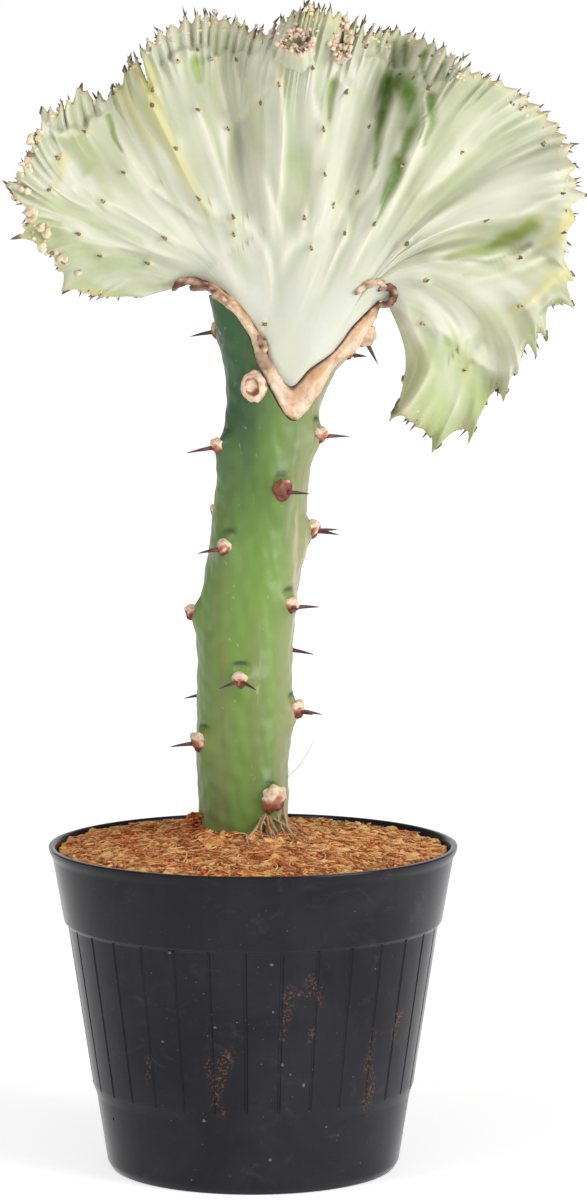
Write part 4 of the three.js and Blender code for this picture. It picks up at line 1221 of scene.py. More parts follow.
def face_ridges(x, z):
    """Creased ridges on the viewer's face: their rise, their tops painted pale as a highlight on the side
    towards the light, and their feet painted green as shade on the side turned from it.
    """
    rise, tops, feet = np.zeros_like(x), np.zeros_like(x), np.zeros_like(x)
    for line, height, width in FACE_RIDGES:
        away, share, near = along_line(x, z, line, 3 * width)
        taper = np.sqrt(np.clip(4 * share * (1 - share), 0, 1))
        reach = width * np.where(away > 0, SHADED_REACH, LIT_REACH)
        rise[near] = np.maximum(rise[near], height * taper * np.exp(-((np.abs(away) / reach) ** 1.25)))
        tops[near] = np.maximum(tops[near], taper * np.exp(-((away / width + 0.2) ** 2) / 0.3))
        feet[near] = np.maximum(feet[near], taper * np.exp(-((away / width - 1.1) ** 2) / 0.4))
    return rise, tops, feet


def tubercle_points(x, z, spots):
    """Small cones under the face's dark spine tips."""
    rise = np.zeros_like(x)
    for number, (spot_x, spot_z) in enumerate(spots):
        away = np.hypot(x - spot_x, z - spot_z)
        size = 1.0 + 0.25 * math.sin(number * 2.1)
        rise = np.maximum(rise, size * np.exp(-((away / 1.5) ** 1.2)))
    return rise


def nearest_place(x, z, u, v, spot):
    nearest = np.argmin((x - spot[0]) ** 2 + (z - spot[1]) ** 2)
    return u.ravel()[nearest], v.ravel()[nearest]


LEFT_LOBE_END = 0.25


def tubercle_ribs(x, z, u, v, spread, spots):
    """Ribs that climb the face to each tubercle and fall away beyond it, with their tops painted pale as a
    highlight and their feet painted green as shade on the side turned from the light.
    """
    field, tops, feet = np.zeros_like(x), np.zeros_like(x), np.zeros_like(x)
    for number, spot in enumerate(spots):
        u0, v0 = nearest_place(x, z, u, v, spot)
        length = 0.2 + 0.08 * math.sin(number * 2.4)
        along = (v - v0) / length
        climb = np.where(along < 0, np.clip(1 + along, 0, 1) ** 1.8, bell(along, 0.16))
        width = mix(1.7, 4.5, np.clip(-along, 0, 1) ** 0.8)
        drift = 0.004 * math.sin(number * 1.7) * np.clip(-along, 0, 1)
        across = (u - u0 - drift) * spread / width * (1 if u0 > LEFT_LOBE_END else -1)
        strength = (0.7 + 0.3 * math.sin(number * 3.1)) * climb
        tops = np.maximum(tops, strength * np.exp(-((across + 0.2) ** 2) / 0.3))
        feet = np.maximum(feet, strength * np.exp(-((across - 1.0) ** 2) / 0.4))
        across = np.abs(across) / np.where(across > 0, SHADED_REACH, LIT_REACH)
        field = np.maximum(field, strength * np.exp(-(across**1.4)))
    return field, tops, feet


def shelf_rise(x, z, u, v, lengths):
    """Shelves: lines on the face from which the strip up to the margin bends back."""
    rise = np.zeros_like(x)
    beyond_all = np.zeros_like(x)
    for line, height, setback in SHELVES:
        places = np.array([nearest_place(x, z, u, v, spot) for spot in line])
        places = places[np.argsort(places[:, 0])]
        level = np.interp(u, places[:, 0], places[:, 1])
        between = np.interp(u, places[:, 0], np.arange(len(places)))
        level = level + SHELF_SCALLOP * np.abs(np.sin(between * math.pi))
        inside = smooth(places[0, 0] - 0.014, places[0, 0] + 0.004, u)
        inside *= smooth(places[-1, 0] + 0.014, places[-1, 0] - 0.004, u)
        beyond = (v - level) * lengths
        ramp = np.where(beyond < 0, np.exp(np.minimum(beyond, 0) / 4.5), bell(beyond, 0.9))
        rise += inside * (height * ramp - setback * smooth(0, 2.0, beyond))
        beyond_all = np.maximum(beyond_all, inside * smooth(0.3, 1.8, beyond))
    return rise, beyond_all


def horn_reach(u, x, z):
    """How far the margin is drawn out into the larger points of the outline, and in between them."""
    margin_u, margin_x, margin_z = u[-1], x[-1], z[-1]
    reach = np.zeros_like(margin_x)
    low = np.full_like(margin_x, -2.8) * smooth(0.76, 0.79, margin_u) * smooth(0.975, 0.95, margin_u)
    for tip_x, tip_z in HORNS:
        away = np.hypot(margin_x - tip_x, margin_z - tip_z)
        nearest = np.argmin(away)
        beside = np.hypot(margin_x - margin_x[nearest], margin_z - margin_z[nearest])
        point = np.exp(-((beside / 1.9) ** 1.2))
        reach = np.maximum(reach, min(away[nearest] + 1, 7.0) * point)
        low = low * (1 - point)
    return reach + low


def colour_masks(x, z, u, v, side):
    """Streaks of green and yellow, as in the photograph on the front and fainter on the back."""
    place = np.stack([x, 0 * x, z], axis=-1)
    shifted_x = x + 0.35 * ripple(place, 5.0, 341)
    shifted_z = z + 0.6 * ripple(place, 8.0, 342)
    streaks = outward_streaks(u, v)
    masks = {"sink": np.zeros_like(x), "streaks": streaks}
    for name, strokes in STREAKS.items():
        mask = np.zeros_like(x)
        for line, width, strength, sink in strokes:
            here = stroke(shifted_x, shifted_z, line, width)
            mask = np.maximum(mask, strength * here * np.clip(1 - 0.18 * streaks, 0.5, 1))
            masks["sink"] = np.maximum(masks["sink"], sink * here)
        masks[name] = mask
    if side == 1:
        masks = {name: mask * BACK_SHARE.get(name, 1.0) for name, mask in masks.items()}
    return masks


def face_of_crest(side):
    """Points and number layers of one face: side is -1 on the viewer's face and 1 on the back."""
    places, from_tip, numbers = tooth_columns()
    u, v = np.meshgrid(places, fan_rows(side))
    flat = fan_flat(u, v)
    spread = fan_spread(u, v)
    outward = flat - fan_flat(u, v - 0.05)
    lengths = np.linalg.norm(outward, axis=-1)
    outward /= lengths[..., None]
    random = np.random.default_rng(29)
    tooth_size = random.uniform(0.45, 1.25, TEETH + 1)[numbers]
    tooth_start = random.uniform(0.68, 0.86, TEETH + 1)[numbers]
    vigour = at_places(u, TOOTH_VIGOUR) * tooth_size
    toothed = 1 - 2 * from_tip**0.75
    reach = TOOTH_REACH * toothed * vigour * smooth(0.95, 1, v)
    reach += horn_reach(u, flat[..., 0], flat[..., 1]) * smooth(0.86, 1, v)
    for place, depth, width in MARGIN_NOTCHES:
        reach -= depth * np.exp(-np.abs((u - place) / width) ** 3) * smooth(0.75, 1, v)
    sway = 0.9 * ripple(np.stack([u * 60, v * 4, 0 * v], axis=-1), 2, 351) * smooth(0.72, 1.0, v)
    x = flat[..., 0] + outward[..., 0] * reach + outward[..., 1] * sway
    z = flat[..., 1] + outward[..., 1] * reach - outward[..., 0] * sway
    margin_sheet = np.stack([u * 700, 40 * v, 0 * v], axis=-1)
    wobble = 2.0 * ripple(margin_sheet, 14, 321) + 1.0 * ripple(margin_sheet, 7, 322)
    middle = fan_depth(u, v) + wobble * smooth(0.6, 1, v)
    masks = colour_masks(x, z, u, v, side)
    if side == -1:
        spots = np.array(FACE_TUBERCLES)
        shelves, beyond = shelf_rise(x, z, u, v, lengths / 0.05)
        ridges, tops, feet = face_ridges(x, z)
        climbs, climb_tops, climb_feet = tubercle_ribs(x, z, u, v, spread, spots)
        calm = smooth(0.05, 0.5, v)
        ribs = (0.2 + 0.8 * calm) * rib_rise(u, v, spread, 0.2) + calm * (1.1 * ridges + 0.8 * climbs)
        tops = np.maximum(tops, climb_tops)
        feet = np.maximum(feet, climb_feet)
        # Painted highlight on the strip beyond the shelves: all of it on the left and its pleat tops
        # elsewhere, lifting the shade the strip lies in
        tops = np.maximum(tops, 0.9 * beyond * np.maximum(smooth(0.6, 0.5, u), 1 - 1.4 * from_tip))
    else:
        spots = back_tubercles(x, z)
        shelves, beyond = 1.2 * bell(v, 0.05, 0.86), smooth(0.84, 0.88, v)
        climbs, tops, feet = tubercle_ribs(x, z, u, v, spread, spots)
        ribs = rib_rise(u, v, spread, 1.0) + 2.2 * climbs
    peaks = tubercle_points(x, z, spots)
    folds = toothed * vigour * np.minimum(1.1, 0.22 * spread / TEETH) * smooth(tooth_start, 0.93, v)
    on_right = mix(0.3, 1, smooth(0.5, 0.6, u))
    gaps = on_right * beyond * from_tip**3 * smooth(1.0, 0.94, v)
    folds += 0.8 * (0.2 + 0.8 * on_right) * tooth_size * toothed * beyond * smooth(1.0, 0.94, v) - 1.2 * gaps
    # Painted shade: the gaps between the strip's pleats are coloured deep green and green
    masks["deep"] = np.maximum(masks["deep"], gaps * mix(0.3, 0.9, smooth(0.5, 0.6, u)))
    masks["green"] = np.maximum(masks["green"], 0.4 * gaps)
    waves = 0.4 * ripple(np.stack([x, 0.3 * middle, z], axis=-1), 9, 31 + side)
    relief = ribs + folds + waves + 1.4 * peaks + shelves - masks["sink"]
    skin = (fan_half_thickness(u, v) * slant_factor(u, v, spread) + relief) * lip(v)
    skin = np.maximum(skin, np.where(v < 1, 0.4, 0))
    lift = 0.9 * peaks**2 * lip(v)
    x = x + outward[..., 0] * lift
    z = z + outward[..., 1] * lift
    points = np.stack([x, middle + side * skin, z], axis=-1)
    # Relief that sets the painted light and shade; the strip beyond the shelves counts as raised, so it is
    # painted lighter
    heights = ribs + 1.3 * folds + 0.5 * waves + 0.8 * beyond * (1 - 0.5 * on_right)
    masks.update(tops=tops, feet=feet)
    return points, crest_layers(v, heights, peaks, masks)


def outward_streaks(u, v):
    """Fine streaks that run outwards from the graft, between about -1 and 1."""
    drift = u + 0.006 * ripple(np.stack([u * 20, v * 3, 0 * v], axis=-1), 1.5, 361)
    streaks = ripple(np.stack([drift * 300, v * 5, 0 * v], axis=-1), 4.5, 362)
    streaks += 0.6 * ripple(np.stack([drift * 300, v * 9, 0 * v], axis=-1), 2.2, 363)
    return streaks * smooth(0.1, 0.4, v)


def crest_layers(v, heights, peaks, masks):
    """Number layers for the crest's colours: a name and a share from 0 to 1 at each point."""
    # hollow: painted shade where the relief is low
    hollow = np.clip(0.5 - 0.55 * heights, 0, 1)
    streaks = masks["streaks"]
    return {
        # pale: pale streaks, and painted highlights on ridge tops
        "pale": np.clip(np.maximum(0.5 * streaks - 0.2, 0.8 * masks["tops"]), 0, 1),
        # shade: green streaks, and painted shade at the ridges' feet
        "shade": np.clip(np.maximum(-0.6 * streaks - 0.3, 0.8 * masks["feet"]), 0, 1),
        "outward": v.copy(),
        # rise: lighter colour on raised relief and darker on low relief, a painted light and shade
        "rise": np.clip(0.3 + 0.42 * heights + 0.5 * peaks, 0, 1),
        "green": masks["green"],
        "yellow": masks["yellow"],
        "deep": masks["deep"],
        "rim": np.maximum(smooth(0.95, 1.0, v), 0.9 * smooth(0.1, 0.8, peaks)),
        "hollow": hollow * smooth(0.25, 0.7, v),
    }


def make_crest():
    """The fan as one closed mesh. Returns the points of its two faces as grids."""
    faces = {side: face_of_crest(side) for side in (-1, 1)}
    front, front_layers = faces[-1]
    back, back_layers = faces[1]
    columns = front.shape[1]
    front_rows, back_rows = front.shape[0], back.shape[0]
    start = front_rows * columns
    # The back's last row is the front's
    points = np.vstack([front.reshape(-1, 3), back[:-1].reshape(-1, 3)])
    quads_front = grid_faces(front_rows, columns)
    quads_back = grid_faces(back_rows, columns, start=start)[:, ::-1]
    seam_start = start + (back_rows - 1) * columns
    quads_back = np.where(quads_back >= seam_start, quads_back - seam_start + start - columns, quads_back)
    quads, triangles = crest_ends(front, back, columns, start)
    layers = {}
    for name, values in front_layers.items():
        layers[name] = np.concatenate([values.ravel(), back_layers[name][:-1].ravel()])
    groups = [quads_front, quads_back, quads, triangles]
    piece = make_piece("crest_fan", points, groups, crest_material(), layers)
    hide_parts("crest")
    return front, back


def crest_ends(front, back, columns, start):
    """Quads that close the cut edge and triangles that close the fan's two narrow ends."""
    c = np.arange(columns - 1)
    cut = np.stack([c, start + c, start + c + 1, c + 1], axis=-1)
    front_rows, back_rows = front.shape[0], back.shape[0]
    front_v, back_v = fan_rows(-1), fan_rows(1)
    triangles = []
    for column in (0, columns - 1):
        # Walks both edges outwards together until they meet at the margin
        margin = (front_rows - 1) * columns + column
        i, j = 0, 0
        while i < front_rows - 1 or j < back_rows - 1:
            on_front = i * columns + column
            on_back = start + j * columns + column if j < back_rows - 1 else margin
            step_front = j >= back_rows - 1 or (i < front_rows - 1 and front_v[i + 1] <= back_v[j + 1])
            if step_front:
                corner = on_front + columns
                i += 1
            else:
                j += 1
                corner = start + j * columns + column
                if j == back_rows - 1:
                    corner = margin
            if corner not in (on_front, on_back):
                order = [on_front, corner, on_back]
                triangles.append(order if column == 0 else order[::-1])
    return cut, np.array(triangles)


def back_tubercles(x, z):
    random = np.random.default_rng(77)
    chosen = []
    for row, count in ((8, 11), (12, 15), (16, 19), (22, 23)):
        for k in range(count):
            column = int((k + random.uniform(0.25, 0.75)) / count * (x.shape[1] - 1))
            r = row + random.integers(-1, 2)
            chosen.append([x[r, column], z[r, column]])
    return np.array(chosen)


# Points of the outline that stand out beyond the teeth: [x, z]
HORNS = [
    [-83.6, 334.0], [-78.7, 316.1], [-63.2, 302.2], [-72.3, 361.2], [-58.1, 369.3], [-43.9, 377.0],
    [111.6, 334.0], [109.2, 306.0], [110.6, 297.0], [100.6, 286.9], [98.9, 281.8], [88.9, 273.8],
    [88.2, 264.9], [77.6, 249.9], [63.0, 246.1], [44.9, 262.2], [48.6, 263.6], [49.8, 271.8],
]
# Slits in the margin: [place along the fan, depth, width]
MARGIN_NOTCHES = [[0.232, 8.0, 0.0022]]
# Ridges fall away steeply on the side that is turned from the light and gently on the other
SHADED_REACH = 0.55
LIT_REACH = 1.5
# Creased ridges on the viewer's face: (line, height, width)
FACE_RIDGES = [
    (traced((143, 74), (150, 100), (168, 138), (187, 176), (206, 208), (231, 222)), 2.4, 2.4),
    (traced((122, 88), (133, 106), (150, 135), (172, 165), (190, 190)), 1.4, 2.6),
    (traced((103, 95), (113, 125), (128, 155), (150, 185), (176, 206), (205, 225)), 2.1, 2.1),
    (traced((66, 158), (78, 178), (96, 194), (120, 206), (145, 222), (175, 240), (215, 262)), 2.4, 3.1),
    (traced((57, 188), (76, 201), (98, 208)), 1.9, 1.8),
    (traced((60, 224), (85, 238), (112, 246), (140, 250), (175, 258), (205, 272)), 1.6, 2.6),
    (traced((190, 232), (225, 265), (245, 295)), 1.4, 4.4),
    (traced((268, 318), (270, 290), (268, 265), (258, 240), (240, 222), (230, 205)), 2.4, 3.1),
    (traced((270, 285), (285, 255), (300, 238), (318, 226)), 1.6, 3.3),
    (traced((346, 205), (344, 235), (337, 247), (327, 272), (314, 300)), 1.9, 2.4),
    (traced((397, 163), (390, 180), (380, 205), (373, 225), (360, 250), (345, 280)), 1.4, 1.8),
    (traced((395, 72), (394, 98), (387, 132), (375, 175), (355, 207)), 2.6, 2.4),
    (traced(
        (410, 80), (421, 98), (425, 118), (420, 140), (408, 165), (397, 190), (385, 215),
        (365, 250)
    ), 1.9, 3.1),
    (traced((482, 145), (465, 155), (447, 175), (412, 200)), 1.3, 2.8),
    (traced((530, 100), (519, 110), (500, 124), (475, 146)), 1.1, 2.2),
    (traced((580, 193), (562, 192), (540, 202), (512, 216), (486, 226)), 2.4, 2.4),
    (traced((569, 227), (539, 245), (519, 256), (499, 255), (462, 260), (427, 260)), 2.6, 2.4),
    (traced((564, 250), (552, 255), (524, 265), (494, 272), (460, 283)), 1.6, 2.2),
    (traced((570, 272), (550, 283), (530, 300), (514, 307)), 2.1, 2.2),
    (traced((419, 322), (440, 330), (460, 345), (477, 362), (494, 372), (512, 371)), 3.2, 2.5),
    (traced((469, 368), (466, 385), (457, 408), (445, 430), (437, 450)), 2.1, 2.0),
    (traced((314, 68), (312, 85), (314, 100), (324, 132)), 1.6, 1.7),
    (traced((335, 60), (342, 80), (352, 92)), 1.6, 2.0),
    (traced((198, 110), (207, 130), (217, 162), (225, 185), (235, 215)), 1.8, 1.9),
    (traced((272, 82), (252, 102), (240, 120), (229, 131), (226, 160), (230, 190)), 1.6, 1.8),
    (traced((250, 140), (260, 175), (275, 212), (283, 240)), 1.3, 3.3),
    (traced((216, 60), (222, 85), (228, 112)), 1.3, 1.7),
    (traced((236, 61), (240, 90), (238, 118)), 1.3, 1.7),
    (traced((270, 52), (280, 90), (283, 130), (280, 180), (276, 215)), 1.6, 2.4),
    (traced((404, 300), (414, 330), (424, 350), (436, 385), (436, 415)), 1.3, 3.3),
    (traced((40, 114), (37, 125), (62, 134), (87, 132)), 1.9, 1.8),
]
# Streaks on the viewer's face: (line, width, strength, depth sunk into the face)
GREEN_STROKES = [
    ([[62.0, 248.0], [60.0, 264.0], [57.2, 280.0]], 18.0, 0.75, 0.0),
    ([[80.0, 256.0], [74.0, 270.0], [68.0, 282.0]], 15.0, 0.7, 0.0),
    ([[98.0, 284.0], [80.0, 294.0]], 14.0, 0.5, 0.0),
    ([[-74.0, 324.0], [-60.0, 316.0], [-40.0, 309.0]], 12.0, 0.4, 0.0),
    (traced((196, 62), (199, 82)), 3.2, 1.0, 0.8),
    (traced((107, 116), (113, 135), (121, 152)), 1.9, 0.9, 1.2),
    (traced((75, 135), (95, 170), (110, 195)), 5.4, 0.35, 0.6),
    (traced((56, 165), (60, 180)), 3.2, 0.5, 0.4),
    (traced((50, 200), (80, 215), (110, 228), (140, 240)), 4.3, 0.45, 0.8),
    (traced((57, 235), (80, 245)), 2.7, 0.4, 0.3),
    (traced((85, 283), (120, 292), (160, 287), (180, 283)), 2.7, 0.4, 0.0),
    (traced((333, 84), (330, 100), (328, 120)), 3.2, 0.95, 1.2),
    ([[93.8, 323.4], [85.7, 318.4], [77.3, 314.9], [65.6, 313.4]], 5.2, 1.0, 1.2),
    (traced((504, 269), (462, 276)), 2.2, 0.4, 0.6),
    (traced((430, 388), (422, 358), (407, 335)), 5.0, 0.4, 0.6),
    (traced((500, 350), (480, 338)), 5.0, 0.25, 0.3),
    (traced((442, 405), (452, 380)), 5.0, 0.3, 0.4),
    (traced((215, 75), (220, 110)), 4.3, 0.3, 0.4),
    (traced((262, 110), (258, 150)), 6.6, 0.25, 0.3),
    (traced((298, 160), (306, 184)), 7.0, 0.3, 0.6),
    (traced((138, 72), (146, 86), (151, 99)), 2.2, 1.0, 0.8),
    (traced((429, 98), (431, 116), (424, 138)), 2.2, 0.55, 0.8),
    (traced((455, 178), (430, 183)), 5.0, 0.15, 0.2),
]
YELLOW_STROKES = [
    ([[-36.6, 374.4], [-34.3, 365.3], [-28.3, 352.0], [-21.0, 338.2]], 7.0, 0.75, 0.0),
    ([[-23.0, 341.2], [-15.6, 329.2], [-7.5, 324.5]], 5.0, 0.3, 0.0),
    ([[-45.1, 369.4], [-41.1, 362.0], [-33.4, 351.6]], 8.0, 0.5, 0.0),
    ([[107.6, 325.8], [98.6, 316.7]], 6.5, 0.8, 0.0),
    ([[108.0, 308.6], [98.6, 302.2], [88.6, 295.5]], 6.0, 0.6, 0.0),
    (traced((280, 58), (284, 110)), 3.1, 0.35, 0.0),
    (traced((66, 158), (58, 186)), 3.6, 0.5, 0.0),
    (traced((88, 290), (120, 294)), 3.6, 0.4, 0.0),
    ([[96.8, 326.8], [91.8, 323.4], [84.0, 318.0]], 4.1, 0.4, 0.0),
]
DEEP_STROKES = [
    ([[45.4, 371.8], [45.2, 365.0], [44.4, 359.0]], 6.4, 1.0, 0.8),
    ([[44.2, 360.0], [42.9, 353.7], [40.9, 343.9]], 3.4, 1.0, 0.6),
    ([[50.0, 371.2], [53.6, 365.8], [53.8, 358.6], [52.0, 351.0]], 7.6, 1.0, 0.9),
    ([[52.4, 356.0], [51.7, 351.0], [49.7, 344.5]], 5.0, 1.0, 0.8),
    ([[49.2, 344.8], [46.6, 336.2], [43.9, 330.2]], 4.6, 1.0, 0.8),
    ([[44.6, 331.4], [40.9, 323.5]], 1.8, 0.7, 0.4),
    ([[59.8, 366.6], [60.3, 359.0], [57.6, 350.8]], 3.0, 0.85, 0.6),
    ([[56.6, 367.8], [57.4, 360.0], [55.4, 352.0]], 1.4, 0.7, 0.8),
    ([[93.8, 323.9], [86.0, 319.1], [79.3, 315.7]], 3.0, 0.4, 0.6),
    ([[94.0, 316.5], [84.0, 312.2], [68.6, 310.8]], 2.0, 0.5, 0.6),
    ([[46.0, 262.5], [48.6, 259.6], [52.2, 256.4], [56.0, 253.4]], 4.2, 1.0, 0.0),
    (traced((561, 302), (540, 313)), 2.4, 0.7, 0.8),
    # The next five: deep green in the gaps between the top strip's pleats, partly painted shade
    ([[47.5, 385.4], [47.6, 377.0]], 2.0, 0.9, 0.6),
    ([[51.9, 384.0], [51.6, 377.7]], 1.8, 0.8, 0.6),
    ([[58.2, 381.4], [57.3, 374.4]], 2.2, 0.85, 0.6),
    ([[42.8, 385.4], [43.3, 379.4]], 2.2, 0.7, 0.5),
    ([[64.6, 377.4], [63.0, 372.0]], 2.0, 0.6, 0.5),
    (traced((98, 196), (106, 212)), 1.5, 0.25, 0.4),
]
STREAKS = {"green": GREEN_STROKES, "yellow": YELLOW_STROKES, "deep": DEEP_STROKES}
BACK_SHARE = {"green": 0.6, "yellow": 0.5, "deep": 0.0, "sink": 0.3}
# How far outwards each shelf's edge bows between its tubercles
SHELF_SCALLOP = 0.02
# Shelf lines on the viewer's face, with their height and the setback beyond
SHELVES = [
    (traced((172, 62), (194, 52), (216, 60), (236, 61), (250, 57), (272, 51)), 2.2, 1.6),
    (traced((369, 58), (387, 71), (395, 72), (408, 77), (426, 91), (447, 82), (464, 72)), 2.8, 2.2),
    (traced((37, 125), (62, 134), (87, 132), (98, 118)), 2.2, 1.6),
]
# Small rosettes of folded margin that stand out at the top:
# [centre x, centre z, half width, half height, reach towards the viewer, upward tilt in degrees]
ROSETTES = [[14.9, 384.6, 5.2, 4.5, 5.0, 38], [29.8, 385.4, 2.8, 6.8, 4.0, 14]]


def ring_of(rosette, angle, scale, back):
    """Points round a rosette: scale 1 is its rim, and back is the distance behind the rim."""
    _, _, half_width, half_height, _, tilt = rosette
    lean = math.radians(tilt)
    wavy = 1 + 0.1 * np.sin(3 * angle + half_width) + 0.07 * np.sin(8 * angle)
    across = half_width * scale * wavy * np.cos(angle)
    upward = half_height * scale * wavy * np.sin(angle)
    x = across
    y = upward * math.sin(lean) + back * math.cos(lean)
    z = upward * math.cos(lean) - back * math.sin(lean)
    return np.stack([x, y, z], axis=-1)


def make_rosettes(front):
    """Two little cups of pleated margin whose skirts run into the fan. Returns the points round each rim."""
    flat = front.reshape(-1, 3)
    columns, rows = 96, 30
    shapes, rims = [], []
    for rosette in ROSETTES:
        x, z, half_width, half_height, reach, _ = rosette
        away = np.hypot(flat[:, 0] - x, flat[:, 2] - z)
        centre = np.array([x, flat[np.argmin(away), 1] - reach, z])
        around = flat[away < 2.5 * (half_width + half_height)]
        angle = np.repeat(np.linspace(0, TURN, columns, endpoint=False)[None, :], rows, axis=0)
        t = np.repeat(np.linspace(-1, 1, rows)[:, None], columns, axis=1)
        outside = np.clip(-t, 0, 1)
        inside = np.clip(t, 0, 1)
        pleats = np.cos(11 * angle + 1.5 * np.sin(2 * angle))
        crimp = 1 + 0.07 * pleats * (1 - np.abs(t))
        scale = (1 + 0.5 * outside**1.5 - 0.86 * inside**0.9) * crimp
        back = 11 * outside + 3.5 * np.sin(inside * math.pi / 2)
        cup = centre + ring_of(rosette, angle, scale, back - 0.8 * bell(t, 0.12))
        on_skirt = smooth(0.15, 0.9, outside)
        for row in range(rows):
            for column in range(columns):
                if outside[row, column] > 0:
                    place = cup[row, column]
                    nearest = np.argmin((around[:, 0] - place[0]) ** 2 + (around[:, 2] - place[2]) ** 2)
                    place[1] = mix(place[1], around[nearest, 1] + 0.9, on_skirt[row, column])
        layers = {
            # Painted light and shade: darker and greener deeper inside each cup, lighter on the pleat crests
            # and darker in their troughs
            "rise": (0.7 - 0.6 * inside + 0.25 * pleats * (1 - np.abs(t))).ravel(),
            "green": smooth(0.05, 0.5, inside).ravel() * 0.5,
            "deep": smooth(0.75, 1.0, inside).ravel() * 0.7,
            "outward": np.full(t.size, 0.9),
            "pale": np.full(t.size, 0.3),
            "shade": np.clip(-0.8 * pleats * (1 - np.abs(t)), 0, 1).ravel(),
            "rim": bell(t, 0.2).ravel(),
        }
        shapes.append((cup.reshape(-1, 3), grid_faces(rows, columns, closed=True), layers))
        rim = []
        for share in (1.08, 0.9, 0.72, 0.5, 0.3):
            rim.append(centre + ring_of(rosette, angle[0], share, 3 * (1 - share) - 0.4))
        rims.append(rim)
    points, faces, layers = gather(shapes)
    piece = make_piece("crest_rosettes", points, faces, crest_material(), layers)
    thicken = piece.modifiers.new("thickness", "SOLIDIFY")
    thicken.thickness = 0.7 * MM
    thicken.offset = -1
    return rims


# Size of the young tubercles along the margin: [place along the fan, radius]
NUB_SIZES = [
    [0, 0.4], [0.06, 0.8], [0.1, 1.25], [0.17, 1.1], [0.22, 0.8], [0.5, 0.85], [0.75, 0.65],
    [0.85, 0.35], [1, 0.3],
]


# The largest young tubercles, on the left margin: [x, z, radius]
LARGE_NUBS = [
    [-73.3, 328.5, 2.6], [-70.5, 323.5, 1.5], [-68.6, 320.5, 2.1], [-70.7, 316.5, 1.9],
    [-63.0, 312.8, 1.8], [-58.5, 308.0, 1.1], [-75.2, 351.9, 1.5], [-74.5, 344.5, 1.7],
    [-76.9, 340.9, 1.4], [-74.9, 335.2, 1.3],
]


# Where the crest's ribs spring from: [x, z]
FAN_ROOT = [14, 285.0]


class CrestPoints:
    """The crest's spine tips and nubs, gathered with one stream of random draws."""

    def __init__(self):
        self.random = np.random.default_rng(5)
        self.unit, self.unit_faces = ball(2)
        self.tips = []
        self.nubs = []

    def add_tip(self, place, direction, length, radius):
        t = np.linspace(0, 1, 5)[:, None]
        direction = direction / np.linalg.norm(direction)
        path = place - direction * 0.8 + direction * (length + 0.8) * t
        shape, faces, along = tapered(path, radius * (1 - t[:, 0]) ** 0.7 + 0.05, 6)
        self.tips.append((shape, faces, {"along": along}))

    def add_nub(self, place, size, warmth):
        local = self.unit * size * self.random.uniform(0.75, 1.25, 3)
        seed = int(self.random.integers(1e6))
        local = local * (1 + 0.2 * ripple(local, size, seed))[:, None]
        self.nubs.append((place + local, self.unit_faces, {"warmth": warmth}))


def add_face_points(points, face, spots, towards):
    """Two tips and a nub on each tubercle of a face: towards is -1 on the viewer's face."""
    random = points.random
    flat = face[:-4].reshape(-1, 3)
    for spot in spots:
        near = np.hypot(flat[:, 0] - spot[0], flat[:, 2] - spot[1]) < 2.0
        candidates = flat[near]
        if not len(candidates):
            continue
        peak = candidates[np.argmax(candidates[:, 1] * towards)]
        outward = np.array([peak[0] - FAN_ROOT[0], 0, peak[2] - FAN_ROOT[1]])
        outward /= np.linalg.norm(outward)
        for _ in range(2):
            direction = outward + np.array([0, 0.9 * towards, 0]) + random.normal(0, 0.35, 3)
            points.add_tip(peak, direction, random.uniform(0.7, 1.7), 0.5)
        points.add_nub(peak, random.uniform(0.35, 0.7), random.uniform(0.75, 1.0))


def add_horn_points(points, front):
    """A long tip on each point of the outline that stands out."""
    for horn_x, horn_z in np.array(HORNS):
        nearest = np.argmin(np.hypot(front[-1, :, 0] - horn_x, front[-1, :, 2] - horn_z))
        outward = front[-1, nearest] - front[-6, nearest]
        outward /= np.linalg.norm(outward)
        points.add_tip(front[-1, nearest] - outward * 0.6, outward + [0, -0.2, 0.1], 3.0, 0.9)


def add_tooth_points(points, front, tooth):
    """Tips and nubs about one tooth of the margin."""
    random = points.random
    column = tooth * COLUMNS_PER_TOOTH
    last_column = TEETH * COLUMNS_PER_TOOTH
    size = at_places(tooth / TEETH, NUB_SIZES)
    for offset in random.integers(-2, 3, random.integers(1, 4)):
        here = int(np.clip(column + offset, 0, last_column))
        edge = front[-1, here]
        outward = edge - front[-12, here]
        outward[1] *= 0.3
        outward /= np.linalg.norm(outward)
        direction = outward + random.normal(0, 0.4, 3)
        length = random.uniform(0.8, 3.4)
        points.add_tip(edge - outward * 0.3, direction, length, random.uniform(0.35, 0.6))
    for _ in range(random.integers(2, 6)):
        here = int(np.clip(column + random.integers(-3, 4), 0, last_column))
        row = -1 - int(random.integers(0, 7))
        warmth = random.choice([0.0, 0.2, 0.5, 0.9], p=[0.35, 0.3, 0.2, 0.15])
        points.add_nub(front[row, here], size * random.uniform(0.4, 1.1), warmth)


def add_margin_points(points, front):
    """Tips and nubs along the margin, but for the teeth that carry a horn's long tip."""
    horns = np.array(HORNS)
    for tooth in range(TEETH + 1):
        tip = front[-1, tooth * COLUMNS_PER_TOOTH]
        if np.hypot(horns[:, 0] - tip[0], horns[:, 1] - tip[2]).min() >= 3.5:
            add_tooth_points(points, front, tooth)


